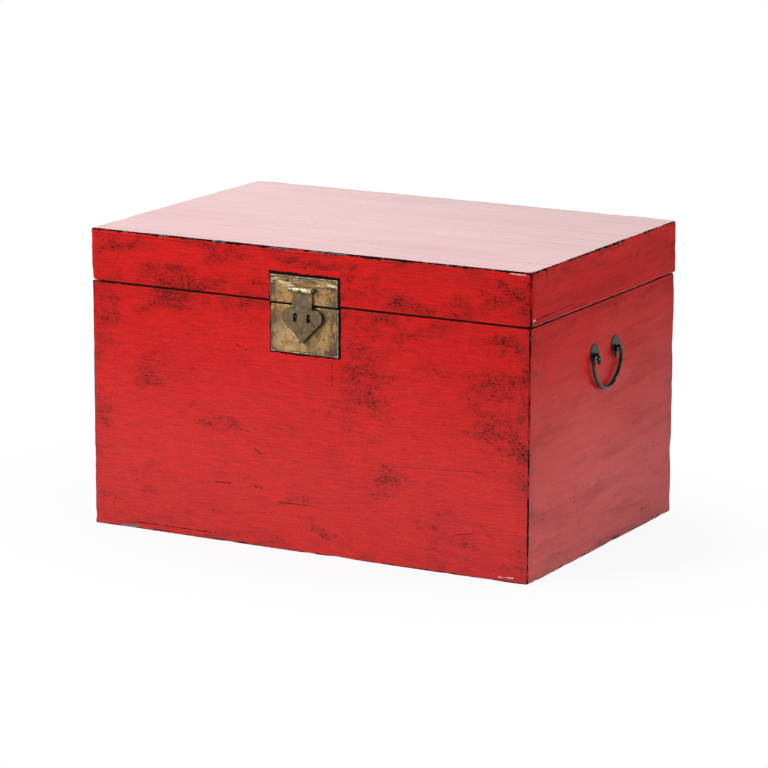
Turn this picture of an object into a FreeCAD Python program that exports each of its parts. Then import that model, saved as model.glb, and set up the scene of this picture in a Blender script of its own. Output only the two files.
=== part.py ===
"""Lacquered storage trunk: dovetailed case, hinged lid, heart hasp and two drop handles.

Millimetres. The origin is on the floor under the middle of the case, +Z is up, the front faces -Y
and the right end faces +X. The lid is closed, the hasp hangs free and both handles hang down.
"""
import FreeCAD
import Part
import Sketcher
import math
import os
import re

Vector = FreeCAD.Vector
Rotation = FreeCAD.Rotation
Constraint = Sketcher.Constraint

SIZES = {
    "Case": {
        "case_width": (795, "outside, left to right"),
        "case_depth": (535, "outside, front to back"),
        "case_height": (407, "floor to rim"),
        "board_thick": (16, "front, back and end boards"),
        "case_round": (2.2, "worn outer edges of the case"),
        "case_tails": (5, "dovetails at each corner of the case"),
        "tail_neck": (40, "narrow end of a case dovetail"),
        "tail_flare": (5, "widening on each side of a dovetail"),
        "bottom_thick": (12, "bottom panel"),
        "bottom_lift": (10, "underside of the bottom panel above the floor"),
        "groove_depth": (7, "groove that holds the bottom panel"),
        "panel_play": (0.5, "room for the bottom panel to swell, each edge"),
        "lip_thick": (7, "rim lip"),
        "lip_rise": (7, "rim lip above the rim"),
        "lip_drop": (11, "rim lip below the rim"),
        "lip_round": (2, "rounded top edges of the rim lip"),
    },
    "Lid": {
        "lid_gap": (0.9, "seam between rim and lid"),
        "lid_height": (86, "lid, rim to top"),
        "lid_overhang": (2.5, "lid past the case at the front and both ends"),
        "rail_thick": (16, "lid rails"),
        "top_thick": (15, "lid top board"),
        "lid_round": (2.6, "worn outer edges of the lid"),
        "lid_tails": (1, "dovetails at each corner of the lid"),
        "lid_tail_neck": (30, "narrow end of a lid dovetail"),
    },
    "Lock plates": {
        "plate_thick": (2, "both lock plates"),
        "plate_width": (124, "both lock plates"),
        "upper_plate_tall": (44.4, "plate on the lid"),
        "upper_plate_hang": (1.4, "plate on the lid below the lid's lower edge"),
        "lower_plate_tall": (77.2, "plate on the case"),
        "lower_plate_inset": (4.2, "plate on the case below the rim"),
        "plate_round": (1.2, "softened front edge of the plates"),
        "plate_corner": (3, "rounded corners of the plates"),
    },
    "Hasp": {
        "pin_rise": (22.4, "hasp pin above the lid's lower edge"),
        "barrel_radius": (4.2, "rolled barrel of the hasp"),
        "barrel_long": (36, "rolled barrel of the hasp"),
        "hasp_pin_radius": (1.8, "pin through the barrel"),
        "hasp_pin_head": (2.8, "radius of the peened pin heads"),
        "hasp_head_thick": (1.2, "peened pin heads"),
        "hasp_eye_wide": (5, "each eye beside the barrel"),
        "hasp_eye_radius": (4, "each eye around the pin"),
        "hasp_shank_radius": (1.7, "shank of each eye"),
        "hasp_thick": (1.5, "hasp sheet"),
        "strap_wide": (35.4, "strap from barrel to heart"),
        "bend_start": (25.5, "start of the inward bend below the pin"),
        "bend_end": (31.5, "end of the inward bend below the pin"),
        "bend_step": (2, "inward step of the bend"),
        "lobe_radius": (13.4, "lobes of the heart"),
        "lobe_apart": (45.2, "lobe centres"),
        "lobe_drop": (43.6, "lobe centres below the pin"),
        "tip_drop": (85.5, "tip of the heart below the pin"),
        "tip_round": (2, "rounded tip of the heart"),
        "slot_wide": (6.8, "slots in the heart"),
        "slot_tall": (14.4, "slots in the heart"),
        "slot_apart": (24, "slot centres, and the staples behind them"),
        "slot_drop": (44.6, "slot centres below the pin"),
        "slot_flat": (0.2, "straight bit left at each rounded slot corner"),
        "hang_tilt": (8, "degrees that the free hasp leans out from the plate"),
        "staple_wire": (0.85, "radius of the staple wire"),
        "staple_loop": (3.1, "radius of the staple loop, middle of the wire"),
        "staple_reach": (6.7, "staple tip in front of the lower plate"),
        "clinch_long": (4, "turned-over ends of staples and eyes"),
    },
    "Handles": {
        "eye_apart": (78, "eyes of one handle"),
        "eye_drop": (85, "handle axis below the rim"),
        "standoff": (6, "handle axis in front of the end board"),
        "backplate_rise": (4, "middle of a backplate above the handle axis"),
        "backplate_radius": (16.5, "round backplates"),
        "backplate_thick": (1.2, "round backplates"),
        "backplate_bevel": (1, "bevel around the backplates"),
        "eye_wire": (1.25, "radius of the eye wire"),
        "eye_shank_radius": (1.7, "shank of each eye"),
        "bail_radius": (3.6, "bail rod in the middle"),
        "bail_end_radius": (3, "bail rod in the eyes"),
        "bail_wide": (103, "bail between the middles of its arms"),
        "bail_bend": (5.5, "bend radius at the top of the arms"),
        "hook_radius": (5, "turned-down ends inside the eyes"),
        "hook_long": (7, "straight end of the hook"),
        "hook_start": (2.6, "middle of the eye to the start of the hook"),
    },
    "Hinges": {
        "hinge_apart": (440, "hinge middles"),
        "leaf_wide": (52, "hinge leaf"),
        "leaf_tall": (44, "hinge leaf from the pin"),
        "leaf_thick": (1.6, "hinge leaf"),
        "knuckle_radius": (4, "hinge knuckle"),
        "middle_knuckle": (20, "length of the middle knuckle"),
        "hinge_pin_radius": (2, "hinge pin"),
        "hinge_pin_head": (2.9, "radius of the peened pin heads"),
        "hinge_head_thick": (1, "peened pin heads"),
        "nail_radius": (1, "nail shank"),
        "nail_long": (11, "nail in the wood"),
        "nail_head": (2.6, "radius of a nail head"),
        "nail_head_thick": (1.1, "nail head"),
        "nail_column": (17, "nails beside the leaf's middle line"),
        "nail_near": (15, "first nails from the pin"),
        "nail_far": (34, "second nails from the pin"),
    },
    "Fits": {
        "running_fit": (0.08, "radial room of a pin in what turns on it"),
        "close_fit": (0.03, "radial room of a shank in its hole"),
        "side_play": (0.3, "end room between knuckles"),
        "knuckle_clear": (0.6, "leaf edge away from the other leaf's knuckle"),
        "eye_play": (0.25, "radial room of a bail in its eyes"),
        "plate_gap": (0.4, "barrel in front of the upper plate"),
    },
}

doc = FreeCAD.newDocument("storage_trunk")
sheet = doc.addObject("Spreadsheet::Sheet", "Sizes")
NODES = []


def fill_sheet():
    """Write every size once, one row each: name, value and what it measures."""
    row = 1
    for section, sizes in SIZES.items():
        sheet.set(f"A{row}", section)
        row += 1
        for name, (value, meaning) in sizes.items():
            sheet.set(f"A{row}", name)
            sheet.set(f"B{row}", str(value))
            sheet.set(f"C{row}", meaning)
            sheet.setAlias(f"B{row}", name)
            row += 1
    doc.recompute()


fill_sheet()
ALIASES = {name for sizes in SIZES.values() for name in sizes}


def size(name):
    """Value of one named size."""
    return float(sheet.get(name))


def formula(words):
    """Formula with every size name led back to the sheet."""
    return re.sub(r"[a-z_]+", lambda word: f"Sizes.{word[0]}" if word[0] in ALIASES else word[0], words)


def number(words):
    """Present value of a formula of named sizes."""
    return float(sheet.evalExpression(formula(words)))


def bind(thing, path, words):
    """Tie one property to a formula of named sizes."""
    thing.setExpression(path, formula(words))


def place(thing, centre):
    """Tie a thing's position to three formulas."""
    for axis, words in zip("xyz", centre):
        bind(thing, f"Placement.Base.{axis}", words)


# Primitives and joins

TURN = {
    "x": Rotation(Vector(0, 1, 0), 90),
    "y": Rotation(Vector(1, 0, 0), -90),
    "z": Rotation(),
}


def block(name, x, y, z):
    """Box between two faces along each axis."""
    box = doc.addObject("Part::Box", name)
    for side, (low, high) in zip(("Length", "Width", "Height"), (x, y, z)):
        bind(box, side, f"({high}) - ({low})")
    place(box, (x[0], y[0], z[0]))
    return box


def rod(name, along, radius, start, length):
    """Cylinder from a start point along one axis."""
    cylinder = doc.addObject("Part::Cylinder", name)
    cylinder.Placement = FreeCAD.Placement(Vector(), TURN[along])
    bind(cylinder, "Radius", radius)
    bind(cylinder, "Height", length)
    place(cylinder, start)
    return cylinder


def frustum(name, turn, radius, end_radius, start, length):
    """Cone frustum from a start point, its axis turned from +Z."""
    cone = doc.addObject("Part::Cone", name)
    cone.Placement = FreeCAD.Placement(Vector(), turn)
    bind(cone, "Radius1", radius)
    bind(cone, "Radius2", end_radius)
    bind(cone, "Height", length)
    place(cone, start)
    return cone


def ring(name, turn, ring_radius, wire_radius, centre, sweep=360):
    """Round wire bent to a circle, or to part of one, its axis turned from +Z."""
    torus = doc.addObject("Part::Torus", name)
    torus.Placement = FreeCAD.Placement(Vector(), turn)
    torus.Angle3 = sweep
    bind(torus, "Radius1", ring_radius)
    bind(torus, "Radius2", wire_radius)
    place(torus, centre)
    return torus


def ball(name, radius, centre):
    """Sphere that rounds an elbow or an end."""
    sphere = doc.addObject("Part::Sphere", name)
    bind(sphere, "Radius", radius)
    place(sphere, centre)
    return sphere


def joined(name, pieces):
    """One solid from touching pieces."""
    fuse = doc.addObject("Part::MultiFuse", name)
    fuse.Shapes = pieces
    fuse.Refine = True
    return fuse


def cut(name, base, tools):
    """A base less its tools."""
    result = doc.addObject("Part::Cut", name)
    result.Base = base
    result.Tool = tools[0] if len(tools) == 1 else joined(f"{name}_tools", tools)
    result.Refine = True
    return result


def common(name, first, second):
    """What two pieces share."""
    result = doc.addObject("Part::Common", name)
    result.Base = first
    result.Tool = second
    result.Refine = True
    return result


def group(name, solids):
    """Separate solids that share one node."""
    compound = doc.addObject("Part::Compound", name)
    compound.Links = solids
    return compound


def node(label, thing):
    """Name a finished sub-part for its file."""
    thing.Label = label
    NODES.append(thing)
    return thing


# Sketches

def new_sketch(body, role, name):
    """Sketch on one of its body's own origin planes."""
    plane = next(item for item in body.Origin.OriginFeatures if item.Role == role)
    sketch = body.newObject("Sketcher::SketchObject", name)
    sketch.AttachmentSupport = (plane, [""])
    sketch.MapMode = "FlatFace"
    return sketch


def hold(sketch, words, kind, *where):
    """Dimension in a sketch, tied to a formula."""
    index = sketch.addConstraint(Constraint(kind, *where, number(words)))
    bind(sketch, f"Constraints[{index}]", words)


def pin_point(sketch, geometry, vertex, across, upward):
    """Hold a point at two formulas measured from the sketch's origin."""
    for kind, words in (("DistanceX", across), ("DistanceY", upward)):
        hold(sketch, words, kind, -1, 1, geometry, vertex)


def polygon(sketch, points):
    """Closed outline of straight lines through points that are given as formulas."""
    corners = [Vector(number(across), number(upward)) for across, upward in points]
    for start, end in zip(corners, corners[1:] + corners[:1]):
        sketch.addGeometry(Part.LineSegment(start, end))
    for index in range(len(points)):
        sketch.addConstraint(Constraint("Coincident", index, 2, (index + 1) % len(points), 1))
    for index, (across, upward) in enumerate(points):
        pin_point(sketch, index, 1, across, upward)


def rectangle(sketch, across, upward):
    """Closed rectangle between two faces each way."""
    (left, right), (low, high) = across, upward
    polygon(sketch, [(left, low), (right, low), (right, high), (left, high)])


def pad(body, sketch, name, length, both_ways=False):
    """Sketch given a thickness."""
    feature = body.newObject("PartDesign::Pad", name)
    feature.Profile = sketch
    feature.Midplane = both_ways
    bind(feature, "Length", length)
    return feature


def rounded(body, base, name, radius, edges):
    """Fillet on picked edges of the body's last feature."""
    doc.recompute()
    names = [f"Edge{i + 1}" for i, edge in enumerate(base.Shape.Edges) if edges(edge)]
    fillet = body.newObject("PartDesign::Fillet", name)
    fillet.Base = (base, names)
    bind(fillet, "Radius", radius)
    return fillet


def rounded_block(name, x, y, z, radius):
    """Box with every edge rounded."""
    body = doc.addObject("PartDesign::Body", name)
    sketch = new_sketch(body, "XY_Plane", f"{name}_plan")
    rectangle(sketch, x, y)
    slab = pad(body, sketch, f"{name}_slab", f"({z[1]}) - ({z[0]})")
    bind(body, "Placement.Base.z", z[0])
    rounded(body, slab, f"{name}_edges", radius, lambda edge: True)
    return body


# Shared places

CASE_HALF = "case_width / 2"
CASE_FRONT = "-case_depth / 2"
BACK = "case_depth / 2"
LID_LOW = "case_height + lid_gap"
LID_TOP = "case_height + lid_gap + lid_height"
RAIL_TOP = "case_height + lid_gap + lid_height - top_thick"
LID_HALF = "(case_width / 2 + lid_overhang)"
LID_FRONT = "(-case_depth / 2 - lid_overhang)"
PIN_Y = f"({LID_FRONT} - plate_thick - plate_gap - barrel_radius)"
PIN_Z = f"({LID_LOW} + pin_rise)"
HANDLE_Z = "(case_height - eye_drop)"
HINGE_Y = "(case_depth / 2 + knuckle_radius)"
HINGE_Z = "(case_height + lid_gap / 2)"


# Dovetailed frames of the case and the lid

def tail(name, right, front_y, back_y, x_inner, height, neck):
    """Dovetail prism in one corner, as thick as its board and widening towards the end board's face."""
    wedge = doc.addObject("Part::Wedge", name)
    wedge.Placement = FreeCAD.Placement(Vector(), Rotation(Vector(0, 0, 1), -90 if right else 90))
    thick = f"({back_y}) - ({front_y})"
    for low, high in (("Xmin", "Xmax"), ("X2min", "X2max")):
        bind(wedge, low, "0")
        bind(wedge, high, thick)
    bind(wedge, "Ymin", "0")
    bind(wedge, "Ymax", thick)
    for low, high, half in (("Zmin", "Zmax", f"{neck} / 2"), ("Z2min", "Z2max", f"({neck} / 2 + tail_flare)")):
        bind(wedge, low, f"-{half}")
        bind(wedge, high, half)
    place(wedge, (x_inner if right else f"-({x_inner})", back_y if right else front_y, height))
    return wedge


def dovetailed_frame(prefix, half, front, low, high, thick, count, neck):
    """Front and back boards with tails, and end boards cut to take them."""
    inner = f"({half} - {thick})"
    ends_y = {"front": (front, f"{front} + {thick}"), "back": (f"{BACK} - {thick}", BACK)}
    boards, tails = {}, {}
    for end, (y_low, y_high) in ends_y.items():
        for side in ("left", "right"):
            tails[end, side] = [
                tail(f"{prefix}_tail_{end}_{side}_{i + 1}", side == "right", y_low, y_high, inner,
                     f"{low} + ({high} - ({low})) * {2 * i + 1} / {2 * count}", neck)
                for i in range(count)
            ]
        slab = block(f"{prefix}_{end}_slab", (f"-{inner}", inner), (y_low, y_high), (low, high))
        boards[end] = joined(f"{prefix}_{end}_tailed", [slab] + tails[end, "left"] + tails[end, "right"])
    for side, faces in (("left", (f"-{half}", f"-{inner}")), ("right", (inner, half))):
        slab = block(f"{prefix}_{side}_slab", faces, (front, BACK), (low, high))
        boards[side] = cut(f"{prefix}_{side}_pinned", slab, tails["front", side] + tails["back", side])
    return boards


# Lock plates, with the holes for the eyes and staples

def lock_plate(name, front, low, high, holes):
    """Plate with softened front edges, standing on a wooden face."""
    body = doc.addObject("PartDesign::Body", f"{name}_sheet")
    sketch = new_sketch(body, "XZ_Plane", f"{name}_outline")
    rectangle(sketch, ("-plate_width / 2", "plate_width / 2"), ("0", f"{high} - ({low})"))
    slab = pad(body, sketch, f"{name}_slab", "plate_thick")
    bind(body, "Placement.Base.y", front)
    bind(body, "Placement.Base.z", low)
    corners = rounded(body, slab, f"{name}_corners", "plate_corner", lambda edge: runs_along(edge, "y"))
    rounded(body, corners, f"{name}_front_edge", "plate_round", lambda edge: lies_at(edge, "y", -size("plate_thick")))
    return node(name, cut(name, body, holes))


def runs_along(edge, axis):
    """Whether an edge is straight and parallel to an axis."""
    box = edge.BoundBox
    lengths = (box.XLength, box.YLength, box.ZLength)
    return math.isclose(lengths["xyz".index(axis)], edge.Length)


def lies_at(edge, axis, height):
    """Whether a whole edge lies in the plane across an axis at a height."""
    return all(math.isclose(vertex.Point["xyz".index(axis)], height) for vertex in edge.Vertexes)


def mirrored_pair(apart):
    """Names and positions of two like things, left and right of the middle."""
    return (("left", f"-{apart} / 2"), ("right", f"{apart} / 2"))


# Lock staples: wire loops through the lower plate and the front board, turned over inside

STAPLE_Z = f"({PIN_Z} - slot_drop)"
LOWER_PLATE_FACE = f"({CASE_FRONT} - plate_thick)"
LOOP_Y = f"({LOWER_PLATE_FACE} - staple_reach + staple_wire + staple_loop)"
FRONT_INSIDE = f"({CASE_FRONT} + board_thick)"


def staple(side, x):
    """One staple, with both legs turned away from each other inside the case."""
    name = f"{side}_staple"
    pieces = [ring(f"{name}_loop", Rotation(Vector(0, 1, 0), 90).multiply(Rotation(Vector(0, 0, 1), 180)),
                   "staple_loop", "staple_wire", (x, LOOP_Y, STAPLE_Z), sweep=180)]
    for leg, sign in (("upper", "+"), ("lower", "-")):
        z = f"{STAPLE_Z} {sign} staple_loop"
        elbow = f"({FRONT_INSIDE} + staple_wire)"
        pieces.append(rod(f"{name}_{leg}_leg", "y", "staple_wire", (x, LOOP_Y, z), f"{elbow} - {LOOP_Y}"))
        pieces.append(ball(f"{name}_{leg}_elbow", "staple_wire", (x, elbow, z)))
        end_z = z if sign == "+" else f"{z} - clinch_long"
        pieces.append(rod(f"{name}_{leg}_end", "z", "staple_wire", (x, elbow, end_z), "clinch_long"))
    return joined(name, pieces)


def staple_holes(owner, y_low, y_high):
    """Holes for the four staple legs."""
    return [
        rod(f"{owner}_hole_{side}_{leg}", "y", "staple_wire + close_fit",
            (x, y_low, f"{STAPLE_Z} {sign} staple_loop"), f"{y_high} - ({y_low})")
        for side, x in mirrored_pair("slot_apart") for leg, sign in (("upper", "+"), ("lower", "-"))
    ]


# Hasp eyes: knuckles beside the barrel, with shanks through plate and rail

HASP_EYE_X = "(barrel_long / 2 + side_play + hasp_eye_wide / 2)"
RAIL_INSIDE = f"({LID_FRONT} + rail_thick)"


def shank_ends(name, radius, x, y, z):
    """Split tail of an eye, turned up and down against the inner face."""
    tails = [ball(f"{name}_elbow", radius, (x, y, z))]
    tails.append(rod(f"{name}_up", "z", radius, (x, y, z), f"{radius} + clinch_long"))
    tails.append(rod(f"{name}_down", "z", radius, (x, y, f"{z} - {radius} - clinch_long"), f"{radius} + clinch_long"))
    return tails


def hasp_eye(side, x):
    """One eye: a short knuckle around the pin and a shank turned over inside the lid."""
    name = f"{side}_hasp_eye"
    knuckle = rod(f"{name}_knuckle", "x", "hasp_eye_radius", (f"{x} - hasp_eye_wide / 2", PIN_Y, PIN_Z),
                  "hasp_eye_wide")
    elbow = f"({RAIL_INSIDE} + hasp_shank_radius)"
    shank = rod(f"{name}_shank", "y", "hasp_shank_radius", (x, PIN_Y, PIN_Z), f"{elbow} - {PIN_Y}")
    solid = joined(f"{name}_solid", [knuckle, shank]
                   + shank_ends(name, "hasp_shank_radius", x, elbow, PIN_Z))
    bore = rod(f"{name}_bore", "x", "hasp_pin_radius + close_fit", (f"{x} - hasp_eye_wide", PIN_Y, PIN_Z),
               "2 * hasp_eye_wide")
    return cut(name, solid, [bore])


def hasp_eye_holes(owner, y_low, y_high):
    """Holes for the two eye shanks."""
    return [
        rod(f"{owner}_hole_{side}", "y", "hasp_shank_radius + close_fit", (x, y_low, PIN_Z), f"{y_high} - ({y_low})")
        for side, x in (("left", f"-{HASP_EYE_X}"), ("right", HASP_EYE_X))
    ]


def hasp_pin():
    """Pin through both eyes and the barrel, with a peened head at each end."""
    half = f"({HASP_EYE_X} + hasp_eye_wide / 2)"
    shaft = rod("hasp_pin_shaft", "x", "hasp_pin_radius", (f"-{half}", PIN_Y, PIN_Z), f"2 * {half}")
    heads = [
        frustum("hasp_pin_left_head", Rotation(Vector(0, 1, 0), -90), "hasp_pin_head", "hasp_pin_radius",
                (f"-{half}", PIN_Y, PIN_Z), "hasp_head_thick"),
        frustum("hasp_pin_right_head", Rotation(Vector(0, 1, 0), 90), "hasp_pin_head", "hasp_pin_radius",
                (half, PIN_Y, PIN_Z), "hasp_head_thick"),
    ]
    return joined("hasp_pin", [shaft] + heads)


# Hasp: bent sheet cut to strap and heart, rolled round the pin at its top

def heart_outline(sketch):
    """Strap running into a heart: two lobes, straight flanks and a rounded tip, mirrored about the middle."""
    strap, lobe, out = size("strap_wide") / 2, size("lobe_radius"), size("lobe_apart") / 2
    drop, tip, point = -size("lobe_drop"), size("tip_round"), size("tip_round") - size("tip_drop")
    reach = math.hypot(out, point - drop)
    lean = math.atan2(point - drop, -out) + math.acos((lobe - tip) / reach)
    flank = lean - 2 * math.pi if lean > math.pi else lean
    crook = math.acos((strap - out) / lobe)
    top, tip_centre = (Vector(-strap, 0), Vector(strap, 0)), Vector(0, point)
    right, left = Vector(out, drop), Vector(-out, drop)

    def arc(centre, radius, start, end):
        return Part.ArcOfCircle(Part.Circle(centre, Vector(0, 0, 1), radius), start, end)

    def at(centre, radius, angle):
        return centre + radius * Vector(math.cos(angle), math.sin(angle))

    mirror = math.pi - flank
    shapes = [
        Part.LineSegment(*top),
        Part.LineSegment(top[1], at(right, lobe, crook)),
        arc(right, lobe, flank, crook),
        Part.LineSegment(at(right, lobe, flank), at(tip_centre, tip, flank)),
        arc(tip_centre, tip, mirror, flank + 2 * math.pi),
        Part.LineSegment(at(tip_centre, tip, mirror), at(left, lobe, mirror)),
        arc(left, lobe, math.pi - crook, mirror),
        Part.LineSegment(at(left, lobe, math.pi - crook), top[0]),
    ]
    for shape in shapes:
        sketch.addGeometry(shape)
    for first, first_end, second, second_end in ((0, 2, 1, 1), (1, 2, 2, 2), (6, 1, 7, 1), (7, 2, 0, 1)):
        sketch.addConstraint(Constraint("Coincident", first, first_end, second, second_end))
    for first, first_end, second, second_end in ((2, 1, 3, 1), (3, 2, 4, 2), (4, 1, 5, 1), (5, 2, 6, 2)):
        sketch.addConstraint(Constraint("Tangent", first, first_end, second, second_end))
    for line in (1, 7):
        sketch.addConstraint(Constraint("Vertical", line))
    for vertex, across in ((1, "-strap_wide / 2"), (2, "strap_wide / 2")):
        pin_point(sketch, 0, vertex, across, "0")
    pin_point(sketch, 2, 3, "lobe_apart / 2", "-lobe_drop")
    pin_point(sketch, 6, 3, "-lobe_apart / 2", "-lobe_drop")
    pin_point(sketch, 4, 3, "0", "tip_round - tip_drop")
    for curve, words in ((2, "lobe_radius"), (6, "lobe_radius"), (4, "tip_round")):
        hold(sketch, words, "Radius", curve)


def hanging(body):
    """Set a body at the hasp pin, leaning out as the free hasp hangs."""
    body.Placement = FreeCAD.Placement(Vector(), Rotation(Vector(1, 0, 0), -size("hang_tilt")))
    bind(body, "Placement.Rotation.Angle", "-hang_tilt * 1 deg")
    place(body, ("0", PIN_Y, PIN_Z))
    return body


def slot_cutter(side, x):
    """Upright slot with round ends, right through the heart."""
    body = hanging(doc.addObject("PartDesign::Body", f"{side}_slot"))
    sketch = new_sketch(body, "XZ_Plane", f"{side}_slot_outline")
    rectangle(sketch, (f"{x} - slot_wide / 2", f"{x} + slot_wide / 2"),
              ("-slot_drop - slot_tall / 2", "-slot_drop + slot_tall / 2"))
    slab = pad(body, sketch, f"{side}_slot_slab", "4 * (barrel_radius + bend_step)", both_ways=True)
    rounded(body, slab, f"{side}_slot_ends", "slot_wide / 2 - slot_flat", lambda edge: runs_along(edge, "y"))
    return body


def hasp():
    """Bent strip met with the heart outline, plus the barrel, less slots and bore."""
    strip = hanging(doc.addObject("PartDesign::Body", "hasp_strip"))
    profile = new_sketch(strip, "YZ_Plane", "hasp_side_profile")
    back, stepped = "barrel_radius", "(barrel_radius + bend_step)"
    polygon(profile, [
        (back, "0"), (back, "-bend_start"), (stepped, "-bend_end"), (stepped, "-tip_drop - tip_round"),
        (f"{stepped} - hasp_thick", "-tip_drop - tip_round"), (f"{stepped} - hasp_thick", "-bend_end"),
        (f"{back} - hasp_thick", "-bend_start"), (f"{back} - hasp_thick", "0"),
    ])
    pad(strip, profile, "hasp_strip_width", "lobe_apart + 4 * lobe_radius", both_ways=True)
    blank = hanging(doc.addObject("PartDesign::Body", "hasp_blank"))
    outline = new_sketch(blank, "XZ_Plane", "hasp_heart_outline")
    heart_outline(outline)
    pad(blank, outline, "hasp_blank_depth", "4 * (barrel_radius + bend_step)", both_ways=True)
    leaf = common("hasp_leaf", strip, blank)
    barrel = rod("hasp_barrel", "x", "barrel_radius", ("-barrel_long / 2", PIN_Y, PIN_Z), "barrel_long")
    bore = rod("hasp_bore", "x", "hasp_pin_radius + running_fit", ("-barrel_long", PIN_Y, PIN_Z), "2 * barrel_long")
    slots = [slot_cutter(side, x) for side, x in mirrored_pair("slot_apart")]
    return cut("hasp", joined("hasp_rolled", [leaf, barrel]), slots + [bore])


# Handles

def out_from(side, distance):
    """Position along X, a distance in front of one end board's outer face."""
    sign = "" if side == "right" else "-"
    return f"{sign}({CASE_HALF} + {distance})"


def handle_eye(side, end, y):
    """Eye of one handle: wire ring, shank through backplate and board, and its split tail."""
    name = f"{side}_{end}_eye"
    bore = "(bail_end_radius + eye_play)"
    loop = ring(f"{name}_ring", TURN["y"], f"{bore} + eye_wire", "eye_wire", (out_from(side, "standoff"), y, HANDLE_Z))
    outer = out_from(side, f"(standoff - {bore} - eye_wire)")
    elbow = out_from(side, "(-board_thick - eye_shank_radius)")
    low, high = (elbow, outer) if side == "right" else (outer, elbow)
    shank = rod(f"{name}_shank", "x", "eye_shank_radius", (low, y, HANDLE_Z), f"({high}) - ({low})")
    return joined(name, [loop, shank] + shank_ends(name, "eye_shank_radius", elbow, y, HANDLE_Z))


def handle_eye_hole(side, end, y):
    """Hole for one eye's shank, through the backplate and the end board."""
    inner, outer = out_from(side, "(-2 * board_thick)"), out_from(side, "standoff")
    low, high = (inner, outer) if side == "right" else (outer, inner)
    return rod(f"{side}_{end}_eye_hole", "x", "eye_shank_radius + close_fit", (low, y, HANDLE_Z),
               f"({high}) - ({low})")


def backplate(side, end, y, hole):
    """Round bevelled plate between the board and one eye, with a slot for the eye punched below its middle."""
    name = f"{side}_{end}_backplate"
    turn = Rotation(Vector(0, 1, 0), 90 if side == "right" else -90)
    disc = frustum(f"{name}_disc", turn, "backplate_radius", "backplate_radius - backplate_bevel",
                   (out_from(side, "0"), y, f"{HANDLE_Z} + backplate_rise"), "backplate_thick")
    reach = "(bail_end_radius + eye_play + 2 * eye_wire)"
    faces = (out_from(side, "(-backplate_thick)"), out_from(side, "standoff"))
    slot = block(f"{name}_slot", faces if side == "right" else faces[::-1],
                 (f"{y} - eye_wire - side_play", f"{y} + eye_wire + side_play"),
                 (f"{HANDLE_Z} - {reach}", f"{HANDLE_Z} + {reach}"))
    return cut(name, disc, [slot, hole])


def bail(side):
    """Drop handle: a tapered half hoop, bent in at the top through both eyes and hooked down inside."""
    name = f"{side}_bail"
    x = out_from(side, "standoff")
    hoop = "(bail_wide / 2)"
    body = doc.addObject("PartDesign::Body", f"{name}_hoop")
    place(body, (x, "0", HANDLE_Z))
    path = new_sketch(body, "YZ_Plane", f"{name}_path")
    radius, bend = size("bail_wide") / 2, size("bail_bend")
    for centre, curve, start, end in ((Vector(0, -bend), radius, -math.pi / 2, 0),
                                      (Vector(radius - bend, -bend), bend, 0, math.pi / 2)):
        path.addGeometry(Part.ArcOfCircle(Part.Circle(centre, Vector(0, 0, 1), curve), start, end))
    path.addConstraint(Constraint("Tangent", 0, 2, 1, 1))
    path.addConstraint(Constraint("Vertical", 1, 3, 1, 2))
    pin_point(path, 0, 3, "0", "-bail_bend")
    pin_point(path, 0, 1, "0", f"-bail_bend - {hoop}")
    hold(path, "bail_bend", "Radius", 1)
    hold(path, "-bail_bend", "DistanceY", -1, 1, 0, 2)
    thick = new_sketch(body, "XZ_Plane", f"{name}_middle_section")
    thick.addGeometry(Part.Circle(Vector(0, -bend - radius), Vector(0, 0, 1), size("bail_radius")))
    pin_point(thick, 0, 3, "0", f"-bail_bend - {hoop}")
    thin = new_sketch(body, "XZ_Plane", f"{name}_end_section")
    bind(thin, "AttachmentOffset.Base.z", f"-({hoop} - bail_bend)")
    thin.addGeometry(Part.Circle(Vector(), Vector(0, 0, 1), size("bail_end_radius")))
    pin_point(thin, 0, 3, "0", "0")
    hold(thick, "bail_radius", "Radius", 0)
    hold(thin, "bail_end_radius", "Radius", 0)
    doc.recompute()
    pipe = body.newObject("PartDesign::AdditivePipe", f"{name}_arm")
    pipe.Profile = thick
    pipe.Spine = (path, ["Edge1", "Edge2"])
    pipe.Transformation = "Multisection"
    pipe.Sections = [(thin, [""])]
    doc.recompute()
    both = body.newObject("PartDesign::Mirrored", f"{name}_arms")
    both.Originals = [pipe]
    both.MirrorPlane = (next(item for item in body.Origin.OriginFeatures if item.Role == "XZ_Plane"), [""])
    body.Tip = both
    pieces = [body]
    for end, sign in (("front", "-"), ("rear", "")):
        hook_y = "(eye_apart / 2 - hook_start)"
        near, far = f"{sign}{hook_y}", f"{sign}({hoop} - bail_bend)"
        low, high = (near, far) if end == "rear" else (far, near)
        pieces.append(rod(f"{name}_{end}_journal", "y", "bail_end_radius", (x, low, HANDLE_Z), f"{high} - ({low})"))
        centre = (x, near, f"{HANDLE_Z} - hook_radius")
        turn = Rotation(Vector(0, 1, 0), 90).multiply(Rotation(Vector(0, 0, 1), 180 if end == "rear" else 90))
        pieces.append(ring(f"{name}_{end}_hook", turn, "hook_radius", "bail_end_radius", centre, sweep=90))
        tip_y = f"{sign}({hook_y} - hook_radius)"
        tip_z = f"{HANDLE_Z} - hook_radius - hook_long"
        pieces.append(rod(f"{name}_{end}_tip", "z", "bail_end_radius", (x, tip_y, tip_z), "hook_long"))
        pieces.append(ball(f"{name}_{end}_tip_end", "bail_end_radius", (x, tip_y, tip_z)))
    return joined(name, pieces)


# Back hinges

def knuckles(name, x, spans, radius, past):
    """Knuckle cylinders of one leaf, or bores that run past their ends, at spans beside the hinge's middle."""
    return [
        rod(f"{name}_{index + 1}", "x", radius, (f"{x} + {low} - {past}", HINGE_Y, HINGE_Z),
            f"{high} - ({low}) + 2 * {past}")
        for index, (low, high) in enumerate(spans)
    ]


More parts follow.
